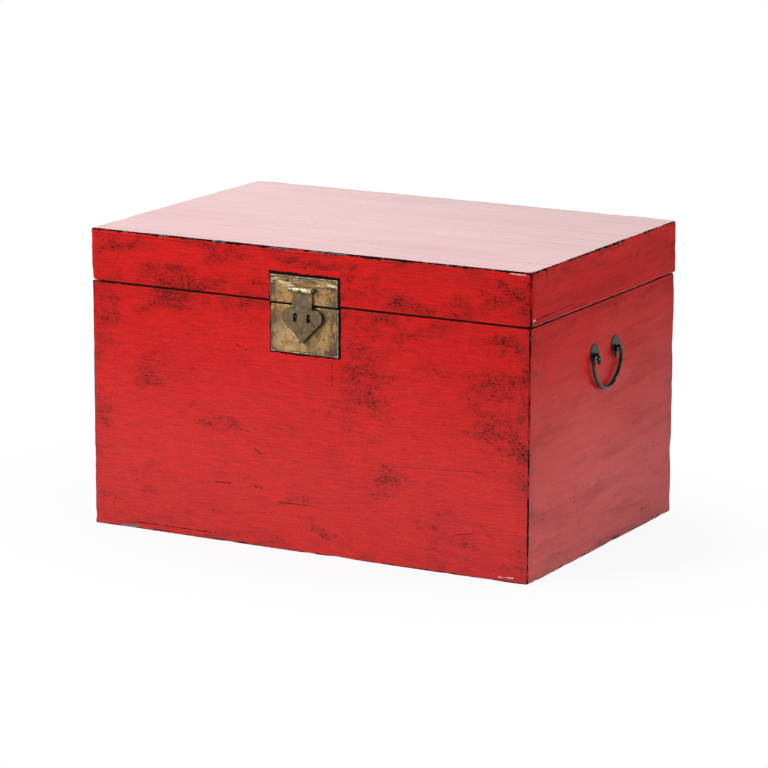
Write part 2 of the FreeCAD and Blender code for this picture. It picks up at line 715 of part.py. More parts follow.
OUTER_SPANS = [("-leaf_wide / 2", "-middle_knuckle / 2"), ("middle_knuckle / 2", "leaf_wide / 2")]
MIDDLE_SPAN = [("(-middle_knuckle / 2 + side_play)", "(middle_knuckle / 2 - side_play)")]


def hinge_leaf(name, x, upward, spans, fit, nail_holes):
    """Leaf flat on the back face, its tongues running into the knuckles around the pin."""
    y = (BACK, f"{BACK} + leaf_thick")
    edge = f"{HINGE_Z} + knuckle_radius + knuckle_clear" if upward else f"{HINGE_Z} - leaf_tall"
    far = f"{HINGE_Z} + leaf_tall" if upward else f"{HINGE_Z} - knuckle_radius - knuckle_clear"
    plate = block(f"{name}_plate", (f"{x} - leaf_wide / 2", f"{x} + leaf_wide / 2"), y, (edge, far))
    tongue_z = (HINGE_Z, edge) if upward else (far, HINGE_Z)
    tongues = [
        block(f"{name}_tongue_{index + 1}", (f"{x} + {low}", f"{x} + {high}"), y, tongue_z)
        for index, (low, high) in enumerate(spans)
    ]
    barrels = knuckles(f"{name}_knuckle", x, spans, "knuckle_radius", "0")
    bores = knuckles(f"{name}_bore", x, spans, f"hinge_pin_radius + {fit}", "knuckle_radius")
    return node(name, cut(name, joined(f"{name}_solid", [plate] + tongues + barrels), bores + nail_holes))


def hinge_pin(name, x):
    """Pin with peened heads against the outer knuckles."""
    pieces = [rod(f"{name}_shaft", "x", "hinge_pin_radius", (f"{x} - leaf_wide / 2", HINGE_Y, HINGE_Z), "leaf_wide")]
    for end, sign, turn in (("left", "-", -90), ("right", "+", 90)):
        pieces.append(frustum(f"{name}_{end}_head", Rotation(Vector(0, 1, 0), turn), "hinge_pin_head",
                              "hinge_pin_radius", (f"{x} {sign} leaf_wide / 2", HINGE_Y, HINGE_Z),
                              "hinge_head_thick"))
    return node(name, joined(name, pieces))


def nail_places(x, sign):
    """Four nail positions on a leaf, above or below the pin."""
    return [
        (f"{x} {column} nail_column", f"{HINGE_Z} {sign} {row}")
        for column in ("-", "+") for row in ("nail_near", "nail_far")
    ]


def nail(name, x, z):
    """Nail through a leaf into the back, with a low bevelled head on the leaf."""
    surface = f"({BACK} + leaf_thick)"
    shank = rod(f"{name}_shank", "y", "nail_radius", (x, f"{surface} - nail_long", z), "nail_long")
    head = frustum(f"{name}_head", TURN["y"], "nail_head", "nail_radius", (x, surface, z), "nail_head_thick")
    return joined(name, [shank, head])


def nail_hole(name, x, z):
    """Hole for one nail shank through the leaf and into the wood."""
    surface = f"({BACK} + leaf_thick)"
    return rod(name, "y", "nail_radius + close_fit", (x, f"{surface} - nail_long", z), "nail_long + leaf_thick")


# Assembly

def build_hinges():
    """Leaves, pins and nails of both hinges; returns the nail holes for the back boards."""
    wood_holes = {"case": [], "lid": []}
    nails = {"case": [], "lid": []}
    for side, x in mirrored_pair("hinge_apart"):
        for owner, sign, upward, spans, fit, label in (
            ("case", "-", False, OUTER_SPANS, "close_fit", "lower"),
            ("lid", "+", True, MIDDLE_SPAN, "running_fit", "upper"),
        ):
            name = f"{side}_hinge_{label}_leaf"
            places = nail_places(x, sign)
            holes = [nail_hole(f"{name}_nail_hole_{i + 1}", *spot) for i, spot in enumerate(places)]
            nails[owner] += [nail(f"{name}_nail_{i + 1}", *spot) for i, spot in enumerate(places)]
            wood_holes[owner] += holes
            hinge_leaf(name, x, upward, spans, fit, holes)
        hinge_pin(f"{side}_hinge_pin", x)
    node("case_hinge_nails", group("case_hinge_nails", nails["case"]))
    node("lid_hinge_nails", group("lid_hinge_nails", nails["lid"]))
    return wood_holes


def build_handles():
    """Backplates, eyes and bails of both ends; returns the eye holes for the end boards."""
    holes = {}
    for side in ("left", "right"):
        ends = (("front", "-eye_apart / 2"), ("rear", "eye_apart / 2"))
        holes[side] = [handle_eye_hole(side, end, y) for end, y in ends]
        plates = [backplate(side, end, y, hole) for (end, y), hole in zip(ends, holes[side])]
        node(f"{side}_handle_backplates", group(f"{side}_handle_backplates", plates))
        node(f"{side}_handle_eyes", group(f"{side}_handle_eyes", [handle_eye(side, end, y) for end, y in ends]))
        node(f"{side}_bail", bail(side))
    return holes


def build_lock():
    """Plates, staples, eyes, pin and hasp; returns the holes for the front board and the lid's front rail."""
    upper_face = f"({LID_FRONT} - plate_thick)"
    rail_holes = hasp_eye_holes("hasp_eye", upper_face, RAIL_INSIDE)
    board_holes = staple_holes("staple", LOWER_PLATE_FACE, FRONT_INSIDE)
    upper_low = f"{LID_LOW} - upper_plate_hang"
    lock_plate("upper_lock_plate", LID_FRONT, upper_low, f"{upper_low} + upper_plate_tall", rail_holes)
    lower_high = "case_height - lower_plate_inset"
    lock_plate("lower_lock_plate", CASE_FRONT, f"{lower_high} - lower_plate_tall", lower_high, board_holes)
    node("lock_staples", group("lock_staples", [staple(side, x) for side, x in mirrored_pair("slot_apart")]))
    eyes = [hasp_eye("left", f"-{HASP_EYE_X}"), hasp_eye("right", HASP_EYE_X)]
    node("hasp_eyes", group("hasp_eyes", eyes))
    node("hasp_pin", hasp_pin())
    node("hasp", hasp())
    return board_holes, rail_holes


def build_case(front_holes, end_holes, back_holes):
    """Four dovetailed boards, the bottom panel in its grooves and the rim lips."""
    boards = dovetailed_frame("case", CASE_HALF, CASE_FRONT, "0", "case_height", "board_thick",
                              int(size("case_tails")), "tail_neck")
    outside = rounded_block("case_outside", (f"-{CASE_HALF}", CASE_HALF), (CASE_FRONT, BACK), ("0", "case_height"),
                            "case_round")
    reach = "(board_thick - groove_depth)"
    panel_z = ("bottom_lift", "bottom_lift + bottom_thick")
    groove = block("bottom_groove", (f"-{CASE_HALF} + {reach}", f"{CASE_HALF} - {reach}"),
                   (f"{CASE_FRONT} + {reach}", f"{BACK} - {reach}"), panel_z)
    edge = f"({reach} + panel_play)"
    node("case_bottom_panel", block("case_bottom_panel", (f"-{CASE_HALF} + {edge}", f"{CASE_HALF} - {edge}"),
                                    (f"{CASE_FRONT} + {edge}", f"{BACK} - {edge}"), panel_z))
    holes = {"front": front_holes, "back": back_holes, "left": end_holes["left"], "right": end_holes["right"]}
    for side, board in boards.items():
        shaped = common(f"case_{side}_shaped", board, outside)
        node(f"case_{side}_board", cut(f"case_{side}_board", shaped, [groove] + holes[side]))


def rim_lip(name, x, y):
    """Strip on the inside of one board, standing above the rim with its top edges rounded."""
    body = doc.addObject("PartDesign::Body", name)
    sketch = new_sketch(body, "XY_Plane", f"{name}_plan")
    rectangle(sketch, x, y)
    strip = pad(body, sketch, f"{name}_strip", "lip_drop + lip_rise")
    bind(body, "Placement.Base.z", "case_height - lip_drop")
    top = size("lip_drop") + size("lip_rise")
    rounded(body, strip, f"{name}_top_edges", "lip_round", lambda edge: lies_at(edge, "z", top))
    return node(name, body)


def build_lips():
    """Lips along the front and both ends, which meet in butt joints."""
    inner_x, inner_y = f"({CASE_HALF} - board_thick)", f"({CASE_FRONT} + board_thick)"
    rim_lip("rim_lip_front", (f"-{inner_x}", inner_x), (inner_y, f"{inner_y} + lip_thick"))
    ends_y = (f"{inner_y} + lip_thick", f"{BACK} - board_thick")
    rim_lip("rim_lip_left", (f"-{inner_x}", f"-{inner_x} + lip_thick"), ends_y)
    rim_lip("rim_lip_right", (f"{inner_x} - lip_thick", inner_x), ends_y)


def build_lid(front_holes, back_holes):
    """Four dovetailed rails under a top board, with all outer edges worn round."""
    rails = dovetailed_frame("lid", LID_HALF, LID_FRONT, LID_LOW, RAIL_TOP, "rail_thick",
                             int(size("lid_tails")), "lid_tail_neck")
    outside = rounded_block("lid_outside", (f"-{LID_HALF}", LID_HALF), (LID_FRONT, BACK), (LID_LOW, LID_TOP),
                            "lid_round")
    holes = {"front": front_holes, "back": back_holes}
    for side, rail in rails.items():
        shaped = common(f"lid_{side}_shaped", rail, outside)
        finished = cut(f"lid_{side}_rail", shaped, holes[side]) if side in holes else shaped
        node(f"lid_{side}_rail", finished)
    board = block("lid_top_slab", (f"-{LID_HALF}", LID_HALF), (LID_FRONT, BACK), (RAIL_TOP, LID_TOP))
    node("lid_top_board", common("lid_top_board", board, outside))


def check_and_write():
    """Stop on any failed object or bad shape, then write one file for each node."""
    doc.recompute()
    failed = [item.Name for item in doc.Objects if {"Invalid", "Error"} & set(item.State)]
    bad = [item.Label for item in NODES if item.Shape.isNull() or not item.Shape.isValid() or not item.Shape.Solids]
    if failed or bad:
        raise RuntimeError(f"failed objects {failed}, bad shapes {bad}")
    os.makedirs("parts", exist_ok=True)
    for item in NODES:
        item.Shape.exportStep(f"parts/{item.Label}.step")
        print(f"{item.Label}: {len(item.Shape.Solids)} solid(s), {item.Shape.Volume / 1000:.2f} cm3")


hinge_holes = build_hinges()
handle_holes = build_handles()
board_holes, rail_holes = build_lock()
build_case(board_holes, handle_holes, hinge_holes["case"])
build_lips()
build_lid(rail_holes, hinge_holes["lid"])
check_and_write()
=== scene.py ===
import math

import bpy
import numpy as np
from mathutils import Matrix, Vector


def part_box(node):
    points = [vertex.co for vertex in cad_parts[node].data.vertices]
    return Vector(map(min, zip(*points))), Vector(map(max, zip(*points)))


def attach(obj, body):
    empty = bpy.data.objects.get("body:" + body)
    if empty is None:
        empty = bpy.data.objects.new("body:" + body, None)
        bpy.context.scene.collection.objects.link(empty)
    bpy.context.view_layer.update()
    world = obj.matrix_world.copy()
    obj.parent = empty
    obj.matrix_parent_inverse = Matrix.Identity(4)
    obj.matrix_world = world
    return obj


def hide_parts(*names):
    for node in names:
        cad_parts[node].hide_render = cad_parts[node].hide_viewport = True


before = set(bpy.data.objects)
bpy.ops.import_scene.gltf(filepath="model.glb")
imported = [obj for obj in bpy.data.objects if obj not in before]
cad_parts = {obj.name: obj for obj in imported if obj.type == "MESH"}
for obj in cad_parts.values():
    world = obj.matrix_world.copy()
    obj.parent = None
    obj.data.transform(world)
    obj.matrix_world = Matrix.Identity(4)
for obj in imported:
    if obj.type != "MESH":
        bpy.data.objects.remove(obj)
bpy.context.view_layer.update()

# Red lacquered storage trunk: boards with worn edges, aged lacquer, brass lock and hinges, iron handles.
# Metres. The front faces -Y, the right end faces +X and the floor is at 0.

MM = 0.001
CASE_BOARDS = ["case_front_board", "case_back_board", "case_left_board", "case_right_board"]
LID_BOARDS = ["lid_front_rail", "lid_back_rail", "lid_left_rail", "lid_right_rail", "lid_top_board"]
BARE_WOOD = ["case_bottom_panel", "rim_lip_front", "rim_lip_left", "rim_lip_right"]
LOCK_PLATES = ["upper_lock_plate", "lower_lock_plate"]
HASP = ["hasp"]
LOCK_WIRE = ["hasp_eyes", "hasp_pin", "lock_staples"]
HINGE_PIECES = ("lower_leaf", "upper_leaf", "pin")
HINGES = [f"{side}_hinge_{piece}" for side in ("left", "right") for piece in HINGE_PIECES]
NAILS = ["case_hinge_nails", "lid_hinge_nails"]
BACKPLATES = ["left_handle_backplates", "right_handle_backplates"]
HANDLE_RODS = ["left_bail", "right_bail"]
HANDLE_EYES = ["left_handle_eyes", "right_handle_eyes"]


def box_of(nodes):
    """Lowest and highest corner of several CAD nodes together."""
    boxes = np.array([[tuple(corner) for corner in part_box(node)] for node in nodes])
    return boxes[:, 0].min(0), boxes[:, 1].max(0)


CASE_LOW, CASE_HIGH = box_of(CASE_BOARDS)
LID_LOW, LID_HIGH = box_of(LID_BOARDS)


# Shader arithmetic


class Field:
    """A number that varies over a surface; arithmetic on it adds Math nodes to its finish."""

    def __init__(self, finish, socket):
        self.finish = finish
        self.socket = socket

    def math(self, operation, first, second=0.0):
        return self.finish.node("ShaderNodeMath", {0: first, 1: second}, operation=operation)

    def __add__(self, other):
        return self.math("ADD", self, other)

    def __sub__(self, other):
        return self.math("SUBTRACT", self, other)

    def __rsub__(self, other):
        return self.math("SUBTRACT", other, self)

    def __mul__(self, other):
        return self.math("MULTIPLY", self, other)

    def __truediv__(self, other):
        return self.math("DIVIDE", self, other)

    def __abs__(self):
        return self.math("ABSOLUTE", self)

    def __lt__(self, other):
        return self.math("LESS_THAN", self, other)

    def __gt__(self, other):
        return self.math("GREATER_THAN", self, other)

    def least(self, other):
        return self.math("MINIMUM", self, other)

    def most(self, other):
        return self.math("MAXIMUM", self, other)

    def rise(self, low, high, top=1.0):
        """0 below low, top above high and a smooth step between; falls where low is the larger."""
        inputs = {"Value": self, "From Min": low, "From Max": high, "To Max": top}
        return self.finish.node("ShaderNodeMapRange", inputs, interpolation_type="SMOOTHSTEP")

    __radd__ = __add__
    __rmul__ = __mul__


class Finish:
    """One material and the ways to add nodes to it."""

    def __init__(self, name):
        self.material = bpy.data.materials.new(name)
        self.material.use_nodes = True
        self.tree = self.material.node_tree
        self.shader = self.tree.nodes["Principled BSDF"]
        self.spot = self.node("ShaderNodeTexCoord", {}, output="Object")

    def node(self, kind, inputs, output=0, **settings):
        """Add a node: its settings first, then the values or links of its sockets. Returns one output."""
        made = self.tree.nodes.new(kind)
        for key, value in settings.items():
            setattr(made, key, value)
        for key, value in inputs.items():
            self.feed(made.inputs[key], value)
        return Field(self, made.outputs[output])

    def feed(self, socket, value):
        """Link a field to a socket, or set the socket to a number or colour."""
        if isinstance(value, Field):
            self.tree.links.new(value.socket, socket)
        elif isinstance(value, tuple) and len(value) == 3 and socket.type == "RGBA":
            socket.default_value = (*value, 1.0)
        else:
            socket.default_value = value

    def place(self):
        """Object coordinates as three fields."""
        return [self.node("ShaderNodeSeparateXYZ", {0: self.spot}, output=axis) for axis in "XYZ"]

    def point(self, x, y, z):
        """Vector of three fields or numbers."""
        return self.node("ShaderNodeCombineXYZ", {0: x, 1: y, 2: z})

    def scaled(self, size):
        """Object coordinates in units of a size."""
        return self.node("ShaderNodeVectorMath", {0: self.spot, 3: 1 / size}, operation="SCALE")

    def noise(self, point, detail=3.0, rough=0.5, warp=0.0):
        """Cloudy noise from 0 to 1 around 0.5."""
        inputs = {"Vector": point, "Scale": 1.0, "Detail": detail, "Roughness": rough, "Distortion": warp}
        return self.node("ShaderNodeTexNoise", inputs, output=0)

    def grit(self, size, **settings):
        """Noise with lumps of one size in all directions."""
        return self.noise(self.scaled(size), **settings)

    def cells(self, point):
        """Cell pattern: distance to the nearest border between cells."""
        inputs = {"Vector": point, "Scale": 1.0}
        return self.node("ShaderNodeTexVoronoi", inputs, feature="DISTANCE_TO_EDGE")

    def stirred(self, size, amount):
        """Object coordinates pushed about by a noise of a size, by up to half an amount each way."""
        scaled = self.scaled(size)
        push = self.node("ShaderNodeTexNoise", {"Vector": scaled, "Scale": 1.0, "Detail": 4.0}, output=1)
        middle = self.node("ShaderNodeVectorMath", {0: push, 1: (0.5, 0.5, 0.5)}, operation="SUBTRACT")
        inputs = {0: middle, 1: (amount, amount, amount), 2: self.spot}
        return self.node("ShaderNodeVectorMath", inputs, operation="MULTIPLY_ADD")

    def reach(self, middle, half, spot=None):
        """Distance from a middle point in units of a half size along each axis. A half size of 0 leaves
        its axis out."""
        scale = tuple(1 / size if size else 0.0 for size in half)
        shift = tuple(-place * factor for place, factor in zip(middle, scale))
        inputs = {0: spot or self.spot, 1: scale, 2: shift}
        offset = self.node("ShaderNodeVectorMath", inputs, operation="MULTIPLY_ADD")
        return self.node("ShaderNodeVectorMath", {0: offset}, output="Value", operation="LENGTH")

    def blend(self, first, second, share):
        """Colour between two colours by a share from 0 to 1."""
        return self.node("ShaderNodeMix", {0: share, 6: first, 7: second}, output=2, data_type="RGBA")

    def bump(self, height, depth):
        """Normal of a surface with a height field of 0 to 1 over a depth in metres."""
        return self.node("ShaderNodeBump", {"Height": height, "Distance": depth, "Strength": 1.0})

    def paint(self, **inputs):
        """Set the shader's sockets, named with underscores for spaces."""
        for key, value in inputs.items():
            self.feed(self.shader.inputs[key.replace("_", " ")], value)
        return self.material

    def cover(self, layer, share):
        """Lay another shader over the surface by a share from 0 to 1."""
        surface = self.tree.nodes["Material Output"].inputs["Surface"]
        under = Field(self, surface.links[0].from_socket)
        self.feed(surface, self.node("ShaderNodeMixShader", {0: share, 1: under, 2: layer}))


def mark_cover(across, up, mark, ragged):
    """1 on a straight mark from one point to another on a face. The distance beside the line, or past its
    ends, is made uneven by a noise and compared with the mark's half width."""
    start_across, start_up, end_across, end_up, half_width = mark
    length = math.hypot(end_across - start_across, end_up - start_up)
    way_across, way_up = (end_across - start_across) / length, (end_up - start_up) / length
    step_across, step_up = across - start_across, up - start_up
    forward = step_across * way_across + step_up * way_up
    beside = abs(step_up * way_across - step_across * way_up)
    gap = beside.most(forward - length).most(0.0 - forward)
    return (gap + (ragged - 0.5) * (half_width * 4)).rise(half_width * 1.3, half_width * 0.5)


# Lacquer

VERMILION = (0.75, 0.0112, 0.0092)
DEEP_RED = (0.43, 0.0085, 0.0075)
SMOKED_RED = (0.19, 0.0100, 0.0085)
# Black undercoat, also the colour of painted shade: the lock plates' shadow and the gap at the seam
UNDERCOAT_AND_SHADE = (0.014, 0.007, 0.006)
# Red of the top: painted shade, darker than the sides to offset the stronger light on it
TOP_SHADE_RED = (0.45, 0.0130, 0.0120)
# Pale gesso ground, also the colour of painted highlights along the lid's edges
GESSO_AND_HIGHLIGHT = (0.70, 0.64, 0.60)
BARE_EDGE = (0.15, 0.155, 0.16)
OLD_WOOD = (0.17, 0.085, 0.042)
OLD_WOOD_DARK = (0.075, 0.036, 0.019)
PANEL_WOOD = (0.26, 0.14, 0.066)
PANEL_WOOD_DARK = (0.13, 0.063, 0.030)
WOOD_DIRT = (0.055, 0.028, 0.015)

# Crackled patches on the front: middle along X and Z, half width, half height and strength
CASE_PATCHES = [
    (0.335, 0.315, 0.034, 0.030, 1.00),
    (0.330, 0.240, 0.040, 0.040, 0.95),
    (0.374, 0.225, 0.020, 0.030, 0.90),
    (0.386, 0.290, 0.012, 0.110, 0.60),
    (0.110, 0.300, 0.042, 0.055, 1.00),
    (0.098, 0.232, 0.042, 0.035, 0.75),
    (0.085, 0.380, 0.024, 0.022, 0.85),
    (0.150, 0.378, 0.040, 0.026, 0.70),
    (0.345, 0.380, 0.040, 0.024, 0.75),
    (0.205, 0.320, 0.050, 0.014, 0.60),
    (-0.360, 0.360, 0.022, 0.022, 0.80),
    (-0.215, 0.385, 0.090, 0.022, 0.75),
    (-0.285, 0.278, 0.055, 0.032, 0.70),
    (-0.150, 0.195, 0.060, 0.016, 0.60),
    (0.152, 0.128, 0.026, 0.022, 0.80),
    (-0.012, 0.083, 0.026, 0.010, 0.95),
    (0.045, 0.040, 0.040, 0.008, 0.80),
    (0.255, 0.066, 0.060, 0.030, 0.55),
    (-0.375, 0.160, 0.020, 0.100, 0.22),
    (-0.300, 0.060, 0.060, 0.030, 0.35),
]
LID_PATCHES = [
    (-0.235, 0.428, 0.085, 0.018, 1.00),
    (-0.160, 0.478, 0.050, 0.010, 0.70),
    (-0.350, 0.470, 0.040, 0.016, 0.60),
    (0.105, 0.442, 0.032, 0.026, 0.85),
    (0.235, 0.425, 0.070, 0.014, 0.85),
    (0.365, 0.458, 0.040, 0.022, 0.95),
    (-0.080, 0.432, 0.030, 0.012, 0.60),
    (0.020, 0.474, 0.060, 0.008, 0.60),
]
# Marks: the face that carries them, their kind, start and end along the face and Z, and half width
CASE_MARKS = [
    ("front", "dark", (-0.321, 0.0110, -0.177, 0.0120, 0.8 * MM)),
    ("front", "dark", (0.049, 0.3140, 0.049, 0.2790, 0.7 * MM)),
    ("front", "dark", (-0.130, 0.3300, -0.108, 0.3210, 0.8 * MM)),
    ("front", "dark", (0.140, 0.1600, 0.315, 0.1710, 0.28 * MM)),
    ("front", "dark", (0.270, 0.0650, 0.302, 0.0710, 0.6 * MM)),
    ("front", "dark", (-0.050, 0.0780, 0.020, 0.0790, 0.6 * MM)),
    ("front", "dark", (-0.170, 0.0970, -0.138, 0.0985, 1.0 * MM)),
    ("front", "dark", (-0.092, 0.0982, -0.080, 0.0975, 1.2 * MM)),
    ("front", "dark", (-0.093, 0.1600, -0.080, 0.1530, 0.9 * MM)),
    ("front", "pale", (0.346, 0.0070, 0.372, 0.0085, 0.7 * MM)),
    ("front", "grey", (-0.346, 0.0030, -0.309, 0.0050, 1.4 * MM)),
    ("right", "dark", (0.178, 0.4060, 0.178, 0.3930, 1.0 * MM)),
    ("right", "dark", (-0.2560, 0.3900, -0.2565, 0.0300, 0.26 * MM)),
    ("right", "dark", (0.044, 0.0040, 0.062, 0.0050, 2.4 * MM)),
    ("right", "dark", (-0.072, 0.0030, -0.060, 0.0030, 1.8 * MM)),
]
LID_MARKS = [
    ("front", "dark", (-0.392, 0.4868, -0.212, 0.4862, 0.42 * MM)),
    ("front", "dark", (-0.118, 0.4860, 0.022, 0.4866, 0.34 * MM)),
    # painted highlight along the lid's top right edge
    ("front", "pale", (0.362, 0.4905, 0.393, 0.4895, 0.6 * MM)),
    ("front", "grey", (-0.267, 0.4925, -0.256, 0.4925, 1.4 * MM)),
    ("front", "grey", (-0.062, 0.4925, -0.025, 0.4925, 1.1 * MM)),
    ("front", "grey", (0.011, 0.4925, 0.074, 0.4925, 1.0 * MM)),
    ("right", "dark", (-0.261, 0.4185, -0.124, 0.4210, 1.0 * MM)),
    ("right", "pale", (-0.264, 0.4186, -0.258, 0.4187, 1.2 * MM)),
    ("right", "dark", (0.1132, 0.4450, 0.1142, 0.4450, 2.8 * MM)),
    ("right", "grey", (0.1136, 0.4455, 0.1138, 0.4455, 1.6 * MM)),
]
# Dirt around a lock plate, with the plate's shadow painted to its right and below: how far the dark
# reaches to the left and below, and to the right and above
SHADOW_AND_GRIME_BEFORE = (1.4 * MM, 2.4 * MM)
SHADOW_AND_GRIME_AFTER = (3.4 * MM, 4.2 * MM)
# Offsets that set the noise of one face apart from that of the others
END_OFFSET, RIGHT_OFFSET, LEVEL_OFFSET, BACK_OFFSET = 5.3, 3.1, 11.7, 17.9
# Worn edges: width of the dark line, half its soft border, and how near the seam or an upright edge it
# turns even
EDGE_LINE = 1.2 * MM
LINE_SOFT = 0.5 * MM
EDGE_REACH = (8.0 * MM, 5.0 * MM)
# Band below the lid's top where its front and back edges are worn wider, and how much wider
CROWN_BAND = 8.0 * MM
CROWN_WIDE = 1.1 * MM
# Depth below the box's faces where lacquer ends and bare wood begins
WOOD_DEPTH = (3.5 * MM, 6.0 * MM)
# Levels between which the gloss lessens, how much of it goes, and how uneven that border is
DULL_LEVELS = (0.06, 0.44)
DULL_SHARE = 0.74
DULL_UNEVEN = 0.10
# How much higher the gloss lessens on the ends
DULL_END = 0.02


class Lacquer(Finish):
    """Lacquer on a box. It holds fields that say which face a place is on, which way the brush ran there
    and how far the edges are, and the noises that several layers share."""

    def __init__(self, name, low, high):
        super().__init__(name)
        self.top = high[2]
        x, y, z = self.place()
        self.x, self.y, self.z = x, y, z
        middle, half = (low + high) / 2, (high - low) / 2
        end_gap = half[0] - abs(x - middle[0])
        front_gap = half[1] - abs(y - middle[1])
        level_gap = half[2] - abs(z - middle[2])
        self.on_end = (end_gap < front_gap) * (end_gap < level_gap)
        self.on_level = (level_gap < front_gap) * (level_gap < end_gap)
        self.near_front = front_gap < end_gap
        self.corner = end_gap.most(front_gap)
        self.edge = end_gap.least(front_gap).most(self.corner.least(level_gap))
        self.depth = end_gap.least(front_gap).least(level_gap)
        self.near_edge = self.edge.rise(45 * MM, 3 * MM)
        self.front = (y < 0) * (1 - self.on_end) * (1 - self.on_level)
        self.faces = {"front": (x, self.front), "right": (y, (x > 0) * self.on_end)}

        self.along = x + (y - x) * self.on_end
        self.across = z + (y - z) * self.on_level
        end_offset = self.on_end * (END_OFFSET + RIGHT_OFFSET * (x > 0))
        back_offset = BACK_OFFSET * (y > 0) * (1 - self.on_end)
        self.face = end_offset + self.on_level * LEVEL_OFFSET + back_offset
        sway = self.clotted(280 * MM, 160 * MM, detail=1)
        self.swept = self.across + (sway - 0.5) * (16 * MM)

        self.broad = self.clotted(220 * MM, 110 * MM, detail=2)
        self.clump = self.clotted(70 * MM, 30 * MM, detail=5, rough=0.62)
        self.tone = self.brushed(120 * MM, 6.0 * MM, detail=4, rough=0.6)
        self.weave = self.brushed(34 * MM, 2.7 * MM, detail=4, rough=0.7)
        self.upright = self.clotted(4.2 * MM, 60 * MM, detail=3)
        self.wear = self.grit(34 * MM, detail=4, rough=0.6)
        self.fine = self.grit(6.0 * MM, detail=3)

    def clotted(self, length, height, **settings):
        """Noise with lumps of a length along the boards and a height across them."""
        return self.noise(self.point(self.along / length, self.across / height, self.face), **settings)

    def brushed(self, length, height, **settings):
        """Noise stretched along brush strokes that sway a little."""
        return self.noise(self.point(self.along / length, self.swept / height, self.face), **settings)


def crackle_crowd(coat, patches):
    """How crowded the crackle is: most in the front's patches, also in clumps and near the edges."""
    stirred = coat.stirred(45 * MM, 75 * MM)
    cover = coat.front * 0
    for patch_x, patch_z, half_x, half_z, strength in patches:
        gap = coat.reach((patch_x, 0, patch_z), (half_x, 0, half_z), stirred)
        cover = cover.most(gap.rise(2.0, 0.25, strength))
    loose = coat.clotted(20 * MM, 11 * MM, detail=3)
    crowd = cover * coat.front * 0.60 + (coat.clump - 0.5) * 1.9 + (loose - 0.5) * 0.9
    return crowd + coat.near_edge * 0.14 - 0.20 * (1 - coat.front) + 0.14 * coat.on_end


def crackle_flecks(coat, crowd):
    """Undercoat that shows in the crackle: dark dashes, cracks between cells and fainter dashes."""
    dash = coat.clotted(6.0 * MM, 2.9 * MM, detail=3, rough=0.65) + crowd * 0.22
    speck = dash.rise(0.668, 0.758)
    faint = dash.rise(0.600, 0.700, 0.24)
    bend = coat.clotted(14 * MM, 12 * MM, detail=2) - 0.5
    cell_along = coat.along / (8.5 * MM) + bend * 2.6
    cell_across = coat.across / (5.0 * MM) + bend * 1.9
    broken = coat.clotted(10 * MM, 7.0 * MM).rise(0.46, 0.58)
    crack = coat.cells(coat.point(cell_along, cell_across, coat.face)).rise(0.14, 0.03) * broken
    flecks = speck.most(crack * crowd.rise(0.12, 0.60, 0.5)) * (0.62 + 0.38 * crowd.rise(0.15, 0.65))
    return flecks.most(faint) * (1 - 0.9 * coat.on_level)


def brushed_red(coat, crowd):
    """The coat's red: strokes of two reds, smoky in bristle lines, in the crackle and near edges and
    corners, and darker on top as painted shade."""
    stipple = coat.clotted(4.6 * MM, 2.6 * MM, detail=2, rough=0.6)
    shade = coat.weave.rise(0.32, 0.68) * (0.62 - 0.30 * coat.on_end)
    shade = shade + coat.tone.rise(0.36, 0.74, 0.26) + coat.broad.rise(0.35, 0.72, 0.12)
    shade = shade + (stipple.rise(0.36, 0.66) - 0.5) * 0.38 * (1 - 0.5 * coat.on_end)
    red = coat.blend(VERMILION, DEEP_RED, shade.most(0.0).least(1.0))

    bristle = coat.brushed(85 * MM, 2.2 * MM, detail=3)
    lines = bristle.rise(0.60, 0.74) * coat.clump.rise(0.40, 0.62)
    near_corner = coat.corner.rise(75 * MM, 10 * MM) * (1 - coat.on_level)
    smoke = lines * 0.46 + crowd.rise(0.05, 0.85, 0.24) + coat.near_edge * coat.clump.rise(0.35, 0.70, 0.30)
    smoke = smoke + coat.upright.rise(0.50, 0.72, 0.30) * near_corner
    red = coat.blend(red, SMOKED_RED, smoke.least(0.80))
    # painted shade: the top is darkened
    return coat.blend(red, TOP_SHADE_RED, coat.on_level * 0.85)


def edge_wear(coat, seam, crown):
    """Wear at the edges: the dark line where the red is gone, its bare places, and short drips below the
    lid's top. The line is even at the seam, where it is partly painted shade of the gap between case and
    lid, less ragged on upright edges, and ragged elsewhere."""
    at_seam = abs(coat.z - seam).rise(*EDGE_REACH)
    at_upright = coat.corner.rise(*EDGE_REACH)
    at_crown = (coat.z > coat.top - CROWN_BAND) * coat.near_front * crown
    loss = (coat.wear - 0.45) * (9.0 * MM) + (coat.fine - 0.5) * (4.5 * MM) + at_crown * CROWN_WIDE
    # At the seam the line is even and a little wider: painted shade of the gap between case and lid
    width = EDGE_LINE + 0.3 * MM * at_seam + (coat.fine - 0.5) * (1.2 * MM)
    width = width + (0.5 + 0.99 * crown) * MM * at_upright
    width = width + loss * (1 - at_seam) * (1 - 0.6 * at_upright)
    line = (coat.edge - width).rise(LINE_SOFT, -LINE_SOFT)
    patchy = coat.grit(13 * MM, detail=2).rise(0.60, 0.65)
    bared = line * patchy * (1 - at_seam) * (0.25 + 0.66 * at_crown + 0.6 * coat.on_end)
    below_top = (coat.top - coat.z).rise(16 * MM, 3 * MM)
    drips = coat.upright.rise(0.52, 0.62) * below_top * coat.on_end * crown * 0.99
    return line, bared, drips * coat.wear.rise(0.40, 0.60) * coat.fine.rise(0.38, 0.56)


def arris_highlight(coat, seam, crown):
    """Thin pale line on the ends along the lid's lower edge: a painted highlight of that edge."""
    above = coat.z - seam
    thin = above.rise(1.0 * MM, 1.4 * MM) * above.rise(2.6 * MM, 2.0 * MM)
    return thin * coat.on_end * crown * coat.wear.rise(0.36, 0.52, 0.3465)


